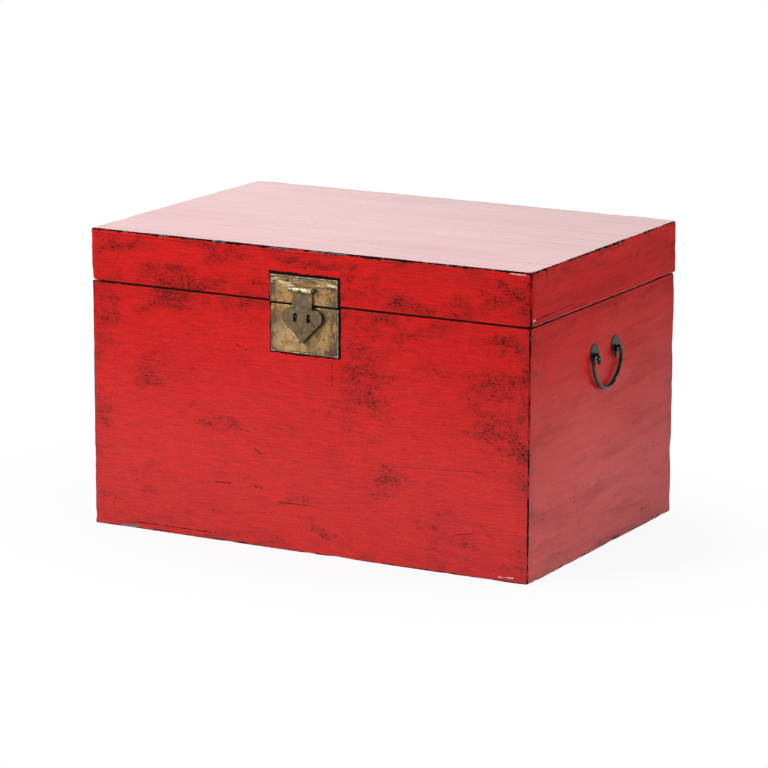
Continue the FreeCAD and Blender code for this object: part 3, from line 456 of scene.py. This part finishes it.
def mark_field(coat, marks, kind):
    """1 on the marks of one kind."""
    total = coat.front * 0
    for side, mark_kind, mark in marks:
        if mark_kind == kind:
            across, on_face = coat.faces[side]
            total = total.most(mark_cover(across, coat.z, mark, coat.fine) * on_face)
    return total


def plate_grime_and_shadow(coat, plate_node):
    """Dirt on the front around a lock plate, and the plate's shadow painted to its right and below."""
    plate_low, plate_high = (np.array(corner)[[0, 2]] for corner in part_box(plate_node))
    dark_low, dark_high = plate_low - SHADOW_AND_GRIME_BEFORE, plate_high + SHADOW_AND_GRIME_AFTER
    middle, half = (dark_low + dark_high) / 2, (dark_high - dark_low) / 2
    beside = (abs(coat.x - middle[0]) - half[0]).most(abs(coat.z - middle[1]) - half[1])
    ragged = (coat.fine - 0.5) * (4 * MM) + (coat.wear - 0.5) * (5 * MM)
    return (beside + ragged).rise(1.0 * MM, -0.8 * MM) * coat.front


def inner_wood(coat):
    """Bare wood of the faces inside the box."""
    grain = coat.clotted(250 * MM, 4.2 * MM, detail=6, rough=0.6, warp=0.6)
    return coat.blend(OLD_WOOD, OLD_WOOD_DARK, grain.rise(0.35, 0.72))


def back_darkening(coat):
    """Dull black over the ends and the top: smudges on the ends and streaks on top, both more towards the
    back.
    """
    smudge = coat.clotted(170 * MM, 26 * MM, detail=4, rough=0.65).rise(0.46, 0.70, 0.18)
    end_darkening = coat.y.rise(-0.12, 0.26, 0.15) + smudge + coat.upright.rise(0.55, 0.70, 0.03)
    streak = coat.clotted(400 * MM, 20 * MM, detail=3)
    top_darkening = (coat.x * 0.5 + coat.y).rise(-0.05, 0.36, 0.11) + streak.rise(0.42, 0.66, 0.06)
    return coat.on_end * end_darkening + coat.on_level * top_darkening


def lacquer(name, low, high, patches, marks, plate_node, seam, crown):
    """Aged lacquer on a box: brushed red over a black undercoat that shows in crackled patches, marks and
    along the edges, and bare wood inside. Its gloss lessens upwards. seam is the level where case and lid
    meet, and crown is 1 where the top edges are worn wider, as on the lid, and otherwise 0."""
    coat = Lacquer(name, low, high)
    crowd = crackle_crowd(coat, patches)
    flecks = crackle_flecks(coat, crowd)
    line, bared, drips = edge_wear(coat, seam, crown)
    dark, pale, grey = (mark_field(coat, marks, kind) for kind in ("dark", "pale", "grey"))
    # Dirt around the lock plate, with the plate's painted shadow
    grime_and_shadow = plate_grime_and_shadow(coat, plate_node)
    inside = coat.depth.rise(*WOOD_DEPTH)

    colour = brushed_red(coat, crowd)
    layers = [
        (UNDERCOAT_AND_SHADE, flecks * 0.62),
        (UNDERCOAT_AND_SHADE, drips * 0.8),
        (UNDERCOAT_AND_SHADE, line * 0.96),
        (BARE_EDGE, bared.least(0.9)),
        # painted highlight along the lid's lower edge on the ends
        (GESSO_AND_HIGHLIGHT, arris_highlight(coat, seam, crown)),
        (UNDERCOAT_AND_SHADE, dark * 0.65),
        (GESSO_AND_HIGHLIGHT, pale * 0.95),
        (BARE_EDGE, grey * 0.95),
        # painted shadow and dirt around the lock plate
        (UNDERCOAT_AND_SHADE, grime_and_shadow * 0.95),
        (inner_wood(coat), inside),
    ]
    for layer_colour, share in layers:
        colour = coat.blend(colour, layer_colour, share)

    level = coat.z + (coat.broad - 0.5) * DULL_UNEVEN - coat.on_end * DULL_END
    handled = level.rise(*DULL_LEVELS, DULL_SHARE)
    matte_inputs = {"Base Color": colour, "Roughness": 0.8, "Specular IOR Level": 0.0}
    coat.cover(coat.node("ShaderNodeBsdfPrincipled", matte_inputs), handled * (1 - coat.on_level))
    black = (flecks * 0.64).most(line * (1 - bared)).most(grime_and_shadow).most(dark * 0.6)
    black = black.most(drips.least(0.45)).most(back_darkening(coat)) * (1 - inside) * (1 - pale.most(grey))
    coat.cover(coat.node("ShaderNodeBsdfDiffuse", {"Color": UNDERCOAT_AND_SHADE}), black * 0.92)

    worn = flecks.most(line).most(grime_and_shadow)
    patchy = 0.05 * coat.tone + 0.12 * coat.broad + 0.04 * coat.clump
    rough = 0.25 + patchy * (1 - 0.75 * coat.on_level) + 0.25 * worn + 0.32 * inside
    height = 0.6 - 0.5 * worn + 0.10 * coat.weave + 0.08 * coat.tone + 0.12 * coat.clump
    return coat.paint(Base_Color=colour, Roughness=rough.least(0.9), Specular_IOR_Level=0.40,
                      Normal=coat.bump(height, 0.20 * MM))


def bare_wood(name):
    """Old unfinished wood with long grain along X, darker pores and stains."""
    finish = Finish(name)
    x, y, z = finish.place()
    grain_point = finish.point(x / (300 * MM), y / (6 * MM), z / (6 * MM))
    grain = finish.noise(grain_point, detail=6, rough=0.6, warp=0.8)
    pores = finish.noise(finish.point(x / (30 * MM), y / (1.1 * MM), z / (1.1 * MM)), detail=3)
    stain = finish.noise(finish.point(x / (150 * MM), y / (120 * MM), z / (100 * MM)), detail=3)
    colour = finish.blend(PANEL_WOOD, PANEL_WOOD_DARK, grain.rise(0.34, 0.70))
    dirt = (pores.rise(0.60, 0.72) * 0.6).most(stain.rise(0.5, 0.8) * 0.5)
    colour = finish.blend(colour, WOOD_DIRT, dirt)
    return finish.paint(Base_Color=colour, Roughness=0.62 + 0.2 * pores, Specular_IOR_Level=0.3,
                        Normal=finish.bump(grain * 0.6 + pores * 0.4, 0.4 * MM))


# Metals

OLD_BRASS = (0.475, 0.268, 0.090)
LIGHT_BRASS = (0.58, 0.40, 0.185)
TAUPE_BRASS = (0.174, 0.103, 0.047)
TAUPE_LIGHT = (0.34, 0.25, 0.15)
TAUPE_DARK = (0.045, 0.030, 0.018)
BARREL_BRASS = (0.78, 0.62, 0.36)
HINGE_BRASS = (0.28, 0.18, 0.075)
PALE_BRASS = (0.80, 0.66, 0.40)
BROWN_BRASS = (0.105, 0.062, 0.028)
GREEN_BRASS = (0.120, 0.118, 0.062)
RUST = (0.085, 0.030, 0.020)
RIM_DIRT = (0.045, 0.018, 0.013)
# Dark patina under the hasp, also the colour of the hasp's painted shadow beside it
PATINA_AND_SHADOW = (0.042, 0.026, 0.016)
# Soot, also the colour of painted shade in the hasp's slots
SOOT_AND_SHADE = (0.010, 0.008, 0.007)
WIRE_BLACK = (0.030, 0.024, 0.022)
WIRE_BRIGHT = (0.40, 0.36, 0.34)
SLATE_IRON = (0.013, 0.025, 0.025)
ROD_IRON = (0.085, 0.066, 0.050)
IRON_BLACK = (0.008, 0.008, 0.007)
IRON_RUST = (0.050, 0.030, 0.020)
# Places on the lock in X and Z: a dent, the staples, the dark heart of patina and painted hasp shadow,
# and two marks on the hasp: a scratch and a painted highlight
PLATE_DENT = (0.0355, 0, 0.3530)
STAPLE_X, STAPLE_Z = 0.0120, 0.3857
HEART_DARK_TIP, HEART_DARK_BROW, HEART_DARK_SLOPE = 0.3414, 0.3842, 1.09
HEART_DARK_LOBE_X, HEART_DARK_LOBE_WIDE, HEART_DARK_LOBE_TALL = 0.0186, 0.0188, 0.0148
HASP_SCRATCH = (0.0150, 0.3835, 0.0250, 0.3735, 0.9 * MM)
# Painted highlight along the hasp's lower left flank
HASP_FLANK_HIGHLIGHT = (-0.0205, 0.3672, -0.0030, 0.3497, 1.1 * MM)


def brass_base(finish, tone, dark):
    """Old brass: olive gold with brown and green stains, rubbed bright in places and a little pitted.
    Returns its colour, how stained it is and its height."""
    x, y, z = finish.place()
    blotch = finish.grit(20 * MM, detail=5, rough=0.65)
    green = finish.grit(30 * MM, detail=4, rough=0.6, warp=0.4)
    freckle = finish.grit(4.2 * MM, detail=3, rough=0.6)
    pits = finish.grit(2.2 * MM, detail=2)
    dents = finish.grit(12 * MM, detail=3)
    wipe = finish.noise(finish.point(x / (26 * MM), y / (3.2 * MM), z / (2.4 * MM)), detail=4, rough=0.6)
    stained = blotch.rise(0.42, 0.62) * dark
    colour = finish.blend(tone, BROWN_BRASS, stained)
    colour = finish.blend(colour, GREEN_BRASS, green.rise(0.50, 0.66) * 0.65)
    colour = finish.blend(colour, BROWN_BRASS, freckle.rise(0.53, 0.64) * 0.70)
    colour = finish.blend(colour, PALE_BRASS, wipe.rise(0.60, 0.78) * 0.35)
    colour = finish.blend(colour, SOOT_AND_SHADE, pits.rise(0.66, 0.74) * 0.6)
    height = 0.5 + 0.5 * dents - 0.4 * pits.rise(0.6, 0.75) + 0.2 * wipe - 0.2 * stained
    return colour, stained, height


def brass_sheen(finish, colour, stained, height):
    """Dull metal sheen, duller on the stains."""
    return finish.paint(Base_Color=colour, Metallic=0.55 - 0.30 * stained, Roughness=0.34 + 0.22 * stained,
                        Normal=finish.bump(height, 0.35 * MM))


def heart_patina_and_shadow(finish, x, z, ragged):
    """1 on the dark heart: patina where the hasp has kept the rubbing off the plates, and at its rim beside
    the hasp a painted shadow of the hasp. It is the union of a V, two straight flanks below the heart's
    brow, and two ellipses for its lobes, with a ragged border."""
    flank = (abs(x) * HEART_DARK_SLOPE - (z - HEART_DARK_TIP)) / math.hypot(1, HEART_DARK_SLOPE)
    heart = flank.most(z - HEART_DARK_BROW)
    for side in (-1, 1):
        middle = (side * HEART_DARK_LOBE_X, 0, HEART_DARK_BROW)
        lobe = finish.reach(middle, (HEART_DARK_LOBE_WIDE, 0, HEART_DARK_LOBE_TALL))
        heart = heart.least((lobe - 1.0) * HEART_DARK_LOBE_TALL)
    return (heart + (ragged - 0.5) * (3 * MM)).rise(1.2 * MM, -0.6 * MM)


def plate_dent_and_slot_shade(finish):
    """1 in the small dent of the lower plate, and around the feet of the two staples as painted shade that
    darkens the hasp's slots.
    """
    dents = finish.reach(PLATE_DENT, (1.6 * MM, 0, 2.4 * MM)).rise(1.2, 0.7)
    for side in (-1, 1):
        foot = finish.reach((side * STAPLE_X, 0, STAPLE_Z), (5.5 * MM, 0, 10.0 * MM))
        dents = dents.most(foot.rise(1.3, 0.9))
    return dents


def lock_plate_brass(name):
    """Brass of the lock plates: dark stains at both sides, rust at the lower right, lighter at the lower
    left, with scratches across the top, the hasp's patina and painted shadow, dents, painted shade in the
    hasp's slots, and worn, dark edges all round the pair with a painted highlight line inside them."""
    finish = Finish(name)
    colour, stained, height = brass_base(finish, OLD_BRASS, dark=0.62)
    x, _, z = finish.place()
    low, high = box_of(LOCK_PLATES)
    ragged = finish.grit(6.0 * MM, detail=4, rough=0.6)
    patchy = finish.grit(16 * MM, detail=4, rough=0.6)
    left, right, below, above = x - low[0], high[0] - x, z - low[2], high[2] - z
    border = left.least(right).least(below).least(above)

    wiped = finish.noise(finish.point(x / (3.4 * MM), 0.0, z / (30 * MM)), detail=4, rough=0.65)
    left_side = (left + (0.5 - ragged) * (12 * MM)).rise(15 * MM, 9 * MM)
    right_side = (right + (0.5 - ragged) * (16 * MM)).rise(20 * MM, 10 * MM)
    stain = left_side.most(right_side) * (patchy * 0.5 + wiped * 0.5).rise(0.40, 0.53, 0.92)
    colour = finish.blend(colour, BROWN_BRASS, stain)
    corner = finish.reach((high[0], 0, low[2]), (30 * MM, 0, 18 * MM))
    colour = finish.blend(colour, RUST, (corner + (ragged - 0.5) * 1.6).rise(1.0, 0.7, 0.75))
    light = finish.reach((-22 * MM, 0, low[2] + 22 * MM), (40 * MM, 0, 26 * MM)).rise(1.3, 0.4)
    colour = finish.blend(colour, LIGHT_BRASS, light * patchy.rise(0.62, 0.40, 0.65))

    scratch_point = finish.point(x / (20 * MM), 0.0, z / (4.2 * MM))
    scratch = finish.noise(scratch_point, detail=5, rough=0.65, warp=0.4)
    band = above.rise(4.0 * MM, 6.5 * MM) * above.rise(21.5 * MM, 15 * MM)
    colour = finish.blend(colour, PALE_BRASS, scratch.rise(0.54, 0.61) * band * 0.9)
    colour = finish.blend(colour, SOOT_AND_SHADE, scratch.rise(0.44, 0.39) * band * 0.9)
    # The dark heart: patina under the hasp, and at its rim beside the hasp a painted shadow of it
    shaded = heart_patina_and_shadow(finish, x, z, ragged) * 0.85
    colour = finish.blend(colour, PATINA_AND_SHADOW, shaded)
    # the dent, and painted shade around the staples that darkens the hasp's slots
    dents = plate_dent_and_slot_shade(finish)
    colour = finish.blend(colour, SOOT_AND_SHADE, dents)

    rim_dark = (border + (ragged - 0.5) * (3 * MM)).rise(4.4 * MM, 2.6 * MM) * patchy.rise(0.36, 0.50)
    colour = finish.blend(colour, RIM_DIRT, rim_dark * 0.9)
    # painted highlight of the plates' rounded rim
    rim_highlight = border.rise(0.6 * MM, 1.1 * MM) * border.rise(2.3 * MM, 1.6 * MM)
    colour = finish.blend(colour, PALE_BRASS, rim_highlight * (0.20 + 0.80 * patchy.rise(0.46, 0.60)))
    rim_black = border.rise(0.9 * MM, 0.5 * MM).most(left.rise(2.0 * MM, 1.3 * MM))
    colour = finish.blend(colour, SOOT_AND_SHADE, rim_black)
    dull = stained.most(stain).most(rim_dark).most(dents).most(shaded)
    return brass_sheen(finish, colour, dull, height + 0.3 * scratch * band)


def hasp_brass(name):
    """Greyer, mottled brass of the hasp, with a dark scratch beside the right slot, a painted highlight
    along its lower left edge and a bright barrel."""
    finish = Finish(name)
    colour, stained, height = brass_base(finish, TAUPE_BRASS, dark=0.90)
    x, _, z = finish.place()
    ragged = finish.grit(4.0 * MM, detail=3)
    rub = finish.grit(7.5 * MM, detail=4, rough=0.7)
    colour = finish.blend(colour, TAUPE_LIGHT, rub.rise(0.55, 0.66, 0.55))
    colour = finish.blend(colour, TAUPE_DARK, rub.rise(0.45, 0.36, 0.65))
    colour = finish.blend(colour, SOOT_AND_SHADE, mark_cover(x, z, HASP_SCRATCH, ragged) * 0.85)
    # painted highlight of the hasp's lower left edge
    colour = finish.blend(colour, PALE_BRASS, mark_cover(x, z, HASP_FLANK_HIGHLIGHT, ragged) * 0.55)
    pin_low, pin_high = box_of(["hasp_pin"])
    barrel = finish.reach(tuple((pin_low + pin_high) / 2), (0, 5.5 * MM, 5.5 * MM)).rise(1.0, 0.9)
    worn = finish.grit(16 * MM, detail=3).rise(0.62, 0.44)
    colour = finish.blend(colour, BARREL_BRASS, barrel * worn)
    return finish.paint(Base_Color=colour, Metallic=0.45 + 0.40 * barrel,
                        Roughness=0.36 - 0.16 * barrel + 0.2 * stained,
                        Normal=finish.bump(height * (1 - barrel), 0.3 * MM))


def rubbed_wire(name):
    """Blackened wire of the eyes, pin and staples, rubbed bright in places."""
    finish = Finish(name)
    rubbed = finish.grit(4.6 * MM, detail=3).rise(0.52, 0.64)
    colour = finish.blend(WIRE_BLACK, WIRE_BRIGHT, rubbed)
    return finish.paint(Base_Color=colour, Metallic=0.85, Roughness=0.22 + 0.10 * rubbed)


def plain_brass(name, tone):
    """Aged brass of the hinges and nails."""
    finish = Finish(name)
    return brass_sheen(finish, *brass_base(finish, tone, dark=0.85))


def black_iron(name, tone, gloss, shine, metal):
    """Blackened iron of a tone, a little mottled, rusty and hammered. gloss is its least roughness."""
    finish = Finish(name)
    mottle = finish.grit(10 * MM, detail=4, rough=0.6)
    forge = finish.grit(3.5 * MM, detail=3)
    colour = finish.blend(tone, IRON_BLACK, mottle.rise(0.42, 0.66))
    colour = finish.blend(colour, IRON_RUST, mottle.rise(0.66, 0.76, 0.5))
    return finish.paint(Base_Color=colour, Metallic=metal, Roughness=gloss + 0.05 * forge + 0.04 * mottle,
                        Specular_IOR_Level=shine, Normal=finish.bump(0.6 * mottle + 0.4 * forge, 0.2 * MM))


# Worn boards

CASE_ROUND = 2.2 * MM
LID_ROUND = 2.6 * MM
# At the seam of case and lid the edges are less round, within a reach of it
SEAM_ROUND, SEAM_REACH = 0.9 * MM, 12 * MM
# Nicks: seed and number, lengths in millimetres, and depths whose squares are parts of the rounding
NICK_SEED, CASE_NICKS, LID_NICKS = 11, 150, 130
NICK_LENGTHS, NICK_DEPTHS = (3, 16), (0.2, 1.3)
# Unevenness of the outer faces, which fades within a rim, and its waves: two frequencies and a start
UNEVEN, CALM_RIM = 0.22 * MM, 30 * MM
RIPPLES = [(31, 17, 0.7), (-13, 29, 2.1), (53, -7, 4.0), (11, 61, 5.2)]
# Mesh: width of the fine rim and the steps inside and outside it, and digits that shared points agree in
FINE_RIM, FINE_STEP, COARSE_STEP, SHARED_DIGITS = 6 * MM, 0.75 * MM, 3.2 * MM, 7
SHARP_ANGLE = math.radians(35)
# Softened edges of fittings
WELD_GAP, BEVEL_ANGLE = 0.01 * MM, math.radians(40)
HASP_SOFT, HINGE_SOFT = 0.45 * MM, 0.4 * MM


def mesh_piece(name, points, quads):
    """Mesh object from arrays of points and quads, smooth except over sharp edges."""
    mesh = bpy.data.meshes.new(name)
    mesh.vertices.add(len(points))
    mesh.vertices.foreach_set("co", points.astype(np.float32).ravel())
    mesh.loops.add(quads.size)
    mesh.loops.foreach_set("vertex_index", quads.astype(np.int32).ravel())
    mesh.polygons.add(len(quads))
    mesh.polygons.foreach_set("loop_start", np.arange(0, quads.size, 4, dtype=np.int32))
    mesh.update(calc_edges=True)
    mesh.validate()
    mesh.shade_smooth()
    mesh.set_sharp_from_angle(angle=SHARP_ANGLE)
    piece = bpy.data.objects.new(name, mesh)
    bpy.context.scene.collection.objects.link(piece)
    return piece


def stations(low, high, margin, fine, coarse):
    """Positions from low to high, close together within a margin of both ends."""
    rim = np.linspace(0, margin, round(margin / fine) + 1)[:-1]
    middle = np.linspace(low + margin, high - margin, max(2, round((high - low - 2 * margin) / coarse)))
    return np.concatenate([low + rim, middle, (high - rim)[::-1]])


def slab(*axes):
    """Closed box surface through the stations of three axes: for each axis a grid at its low and its high
    end, with the quads turned outwards, and the points that the grids share welded."""
    points, quads, count = [], [], 0
    for k in range(3):
        i, j = (k + 1) % 3, (k + 2) % 3
        for end in (0, -1):
            first, second = np.meshgrid(axes[i], axes[j], indexing="ij")
            grid = np.empty(first.shape + (3,))
            grid[..., i], grid[..., j], grid[..., k] = first, second, axes[k][end]
            index = np.arange(first.size).reshape(first.shape) + count
            loop = [index[:-1, :-1], index[1:, :-1], index[1:, 1:], index[:-1, 1:]]
            quads.append(np.stack(loop if end else loop[::-1], -1).reshape(-1, 4))
            points.append(grid.reshape(-1, 3))
            count += first.size
    points, quads = np.concatenate(points), np.concatenate(quads)
    unique, inverse = np.unique(np.round(points, SHARED_DIGITS), axis=0, return_inverse=True)
    return unique, inverse.reshape(-1)[quads]


def scatter_nicks(low, high, round_edge, count, seed):
    """Knocks along the twelve edges of a box: places on the edges, lengths and how much wider the edge is
    rounded there."""
    random = np.random.default_rng(seed)
    each = np.arange(count)
    axis = random.integers(0, 3, count)
    places = np.where(random.random((count, 3)) < 0.5, low, high)
    along = low + (high - low) * random.random((count, 3))
    places[each, axis] = along[each, axis]
    lengths = random.uniform(*NICK_LENGTHS, count) * MM
    depths = random.uniform(*NICK_DEPTHS, count) ** 2 * round_edge
    return places, lengths, depths


def worn_edges(points, low, high, round_edge, seam, nicks):
    """Pull points onto a box with rounded edges. Each point is clamped to the box shrunk by the local
    radius and set at most that radius away from there. The radius is the edge rounding, smaller near the
    seam, plus a bell curve around each nick."""
    places, lengths, depths = nicks
    radius = round_edge + (SEAM_ROUND - round_edge) * np.exp(-((points[:, 2] - seam) / SEAM_REACH) ** 2)
    for place, length, depth in zip(places, lengths, depths):
        radius += depth * np.exp(-0.5 * ((points - place) ** 2).sum(1) / length ** 2)
    radius = radius[:, None]
    core = np.clip(points, low + radius, high - radius)
    away = points - core
    distance = np.linalg.norm(away, axis=1, keepdims=True)
    return np.where(distance > radius, core + away * radius / np.maximum(distance, 1e-9), points)


def ripple(first, second):
    """Unevenness of a hand-planed face, from 0 to 1: waves that cross at odd angles."""
    waves = sum(np.sin(one * first + two * second + start) for one, two, start in RIPPLES)
    return 0.5 + waves / (2 * len(RIPPLES))


def worn_board(node, body, low, high, round_edge, seam, nicks, thin_axis, outward, material):
    """One board of a frame, or the lid's top: a slab between its CAD faces. The outer edges are worn round
    with those of the whole box and the outer face is a little uneven. The ends of frame boards slope 45
    degrees, so that they meet in mitres."""
    board_low, board_high = (np.array(corner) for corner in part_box(node))
    margins = [min(FINE_RIM, (board_high[k] - board_low[k]) / 3) for k in range(3)]
    axes = [stations(board_low[k], board_high[k], margins[k], FINE_STEP, COARSE_STEP) for k in range(3)]
    points, quads = slab(*axes)
    outer = board_high[thin_axis] if outward > 0 else board_low[thin_axis]
    thickness = board_high[thin_axis] - board_low[thin_axis]
    inset = np.abs(points[:, thin_axis] - outer)
    if thin_axis < 2:
        long_axis = 1 - thin_axis
        middle = (board_low[long_axis] + board_high[long_axis]) / 2
        half = (board_high[long_axis] - board_low[long_axis]) / 2
        points[:, long_axis] = middle + (points[:, long_axis] - middle) * (half - inset) / half
    others = [k for k in range(3) if k != thin_axis]
    gaps = np.minimum(points - low, high - points)[:, others].min(1)
    depth = UNEVEN * np.clip(gaps / CALM_RIM, 0, 1) * (1 - inset / thickness)
    points[:, thin_axis] -= outward * depth * ripple(points[:, others[0]], points[:, others[1]])
    piece = mesh_piece(f"lacquered_{node}", worn_edges(points, low, high, round_edge, seam, nicks), quads)
    piece.data.materials.append(material)
    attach(piece, body)
    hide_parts(node)


def build_boards():
    """Worn boards of the case and of the lid in their lacquers."""
    case_finish = lacquer("case_lacquer", CASE_LOW, CASE_HIGH, CASE_PATCHES, CASE_MARKS, "lower_lock_plate",
                          CASE_HIGH[2], 0)
    lid_finish = lacquer("lid_lacquer", LID_LOW, LID_HIGH, LID_PATCHES, LID_MARKS, "upper_lock_plate",
                         LID_LOW[2], 1)
    case_nicks = scatter_nicks(CASE_LOW, CASE_HIGH, CASE_ROUND, CASE_NICKS, NICK_SEED)
    lid_nicks = scatter_nicks(LID_LOW, LID_HIGH, LID_ROUND, LID_NICKS, NICK_SEED + 1)
    sides = {"front": (1, -1), "back": (1, 1), "left": (0, -1), "right": (0, 1), "top": (2, 1)}
    case = ("case", CASE_LOW, CASE_HIGH, CASE_ROUND, CASE_HIGH[2], case_nicks)
    lid = ("lid", LID_LOW, LID_HIGH, LID_ROUND, LID_LOW[2], lid_nicks)
    for nodes, box, finish in ((CASE_BOARDS, case, case_finish), (LID_BOARDS, lid, lid_finish)):
        for node in nodes:
            worn_board(node, *box, *sides[node.split("_")[1]], finish)


def dress(nodes, material, edge=0.0):
    """Give CAD nodes a finish and, where an edge width is given, softened edges."""
    for name in nodes:
        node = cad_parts[name]
        node.data.materials.clear()
        node.data.materials.append(material)
        if edge:
            weld = node.modifiers.new("weld", "WELD")
            weld.merge_threshold = WELD_GAP
            bevel = node.modifiers.new("softened_edges", "BEVEL")
            bevel.width = edge
            bevel.segments = 3
            bevel.limit_method = "ANGLE"
            bevel.angle_limit = BEVEL_ANGLE
            bevel.harden_normals = True


# Stage

CAMERA_TARGET = Vector((-0.00263, 0.0, 0.22534))
CAMERA_DISTANCE = 6.2308
CAMERA_AZIMUTH = math.radians(28.51)
CAMERA_ELEVATION = math.radians(12.50)
CAMERA_ROLL = math.radians(0.23)
FOCAL_LENGTH = 177.1
SENSOR = 36.0
# Soft boxes: azimuth, elevation, distance, width, height and radiance
LAMPS = {
    "key_box": (-33, 30, 4.6, 1.4, 1.28, 19.6),
    "end_box": (112, 25, 3.6, 0.7, 0.7, 13.2),
    "back_box": (208, 15, 4.2, 5.0, 2.2, 1.90),
}
SKY_STRENGTH = 0.40
FLOOR_REACH = 40.0
FLOOR_DROP = 0.2 * MM
FLOOR_WHITE = (0.90, 0.90, 0.90)
# Half sizes of the floor's shadowed middle, and how much less it glows there
SHADOW_HALF, SHADOW_SHARE = (0.42, 0.30, 0), 0.10
FAR_CLIP = 200


def direction(azimuth, elevation):
    """Unit vector from the trunk towards a compass place: azimuth 0 is the front, 90 the right end."""
    level = math.cos(elevation)
    return Vector((math.sin(azimuth) * level, -math.cos(azimuth) * level, math.sin(elevation)))


def add_camera():
    """Camera at the photograph's viewpoint."""
    data = bpy.data.cameras.new("camera")
    data.lens = FOCAL_LENGTH
    data.sensor_width = SENSOR
    data.clip_end = FAR_CLIP
    camera = bpy.data.objects.new("camera", data)
    bpy.context.scene.collection.objects.link(camera)
    back = direction(CAMERA_AZIMUTH, CAMERA_ELEVATION)
    turn = (-back).to_track_quat("-Z", "Y").to_matrix().to_4x4()
    camera.matrix_world = (Matrix.Translation(CAMERA_TARGET + back * CAMERA_DISTANCE) @ turn
                           @ Matrix.Rotation(CAMERA_ROLL, 4, "Z"))
    bpy.context.scene.camera = camera


def add_lamp(name, azimuth, elevation, distance, width, height, radiance):
    """Soft box aimed at the trunk, of an even radiance over its face."""
    data = bpy.data.lights.new(name, "AREA")
    data.shape = "RECTANGLE"
    data.size = width
    data.size_y = height
    data.energy = math.pi * width * height * radiance
    lamp = bpy.data.objects.new(name, data)
    bpy.context.scene.collection.objects.link(lamp)
    away = direction(math.radians(azimuth), math.radians(elevation))
    lamp.matrix_world = (Matrix.Translation(CAMERA_TARGET + away * distance)
                         @ (-away).to_track_quat("-Z", "Y").to_matrix().to_4x4())
    lamp.visible_camera = False


def add_floor():
    """Pale paper floor: it glows white to the eye and in reflections, and a little less near the trunk,
    where it keeps the shadow."""
    corners = np.array([(-1, -1, 0), (1, -1, 0), (1, 1, 0), (-1, 1, 0)]) * FLOOR_REACH
    floor = mesh_piece("floor", corners - (0, 0, FLOOR_DROP), np.array([[0, 1, 2, 3]]))
    finish = Finish("paper_floor")
    finish.paint(Base_Color=FLOOR_WHITE, Roughness=0.9, Specular_IOR_Level=0.0)
    path = finish.tree.nodes.new("ShaderNodeLightPath")
    seen = Field(finish, path.outputs["Is Camera Ray"])
    for ray in ("Is Glossy Ray", "Is Transmission Ray"):
        seen = seen.most(Field(finish, path.outputs[ray]))
    shadowed = finish.reach((0, 0, 0), SHADOW_HALF).rise(2.1, 1.0)
    glow = finish.node("ShaderNodeEmission", {"Color": (1.0, 1.0, 1.0), "Strength": 1.0})
    finish.cover(glow, seen * (1.0 - SHADOW_SHARE * shadowed))
    floor.data.materials.append(finish.material)


def add_world():
    """Even white surroundings."""
    world = bpy.data.worlds.new("studio")
    bpy.context.scene.world = world
    world.use_nodes = True
    sky = world.node_tree.nodes["Background"]
    sky.inputs["Color"].default_value = (1, 1, 1, 1)
    sky.inputs["Strength"].default_value = SKY_STRENGTH


def build_stage():
    """Floor, surroundings, lamps and camera."""
    add_floor()
    add_world()
    for name, settings in LAMPS.items():
        add_lamp(name, *settings)
    add_camera()
    bpy.context.scene.view_settings.view_transform = "Standard"


def main():
    """The boards, the finishes of the other pieces and the stage."""
    build_boards()
    dress(BARE_WOOD, bare_wood("bare_wood"))
    dress(LOCK_PLATES, lock_plate_brass("lock_plate_brass"))
    dress(HASP, hasp_brass("hasp_brass"), edge=HASP_SOFT)
    dress(LOCK_WIRE, rubbed_wire("lock_wire"))
    dress(HINGES, plain_brass("hinge_brass", HINGE_BRASS), edge=HINGE_SOFT)
    dress(NAILS, plain_brass("nail_brass", HINGE_BRASS))
    dress(BACKPLATES, black_iron("backplate_iron", SLATE_IRON, gloss=0.30, shine=0.22, metal=0.0))
    dress(HANDLE_RODS, black_iron("handle_iron", ROD_IRON, gloss=0.10, shine=0.50, metal=0.92))
    dress(HANDLE_EYES, rubbed_wire("handle_eye_iron"))
    build_stage()


main()
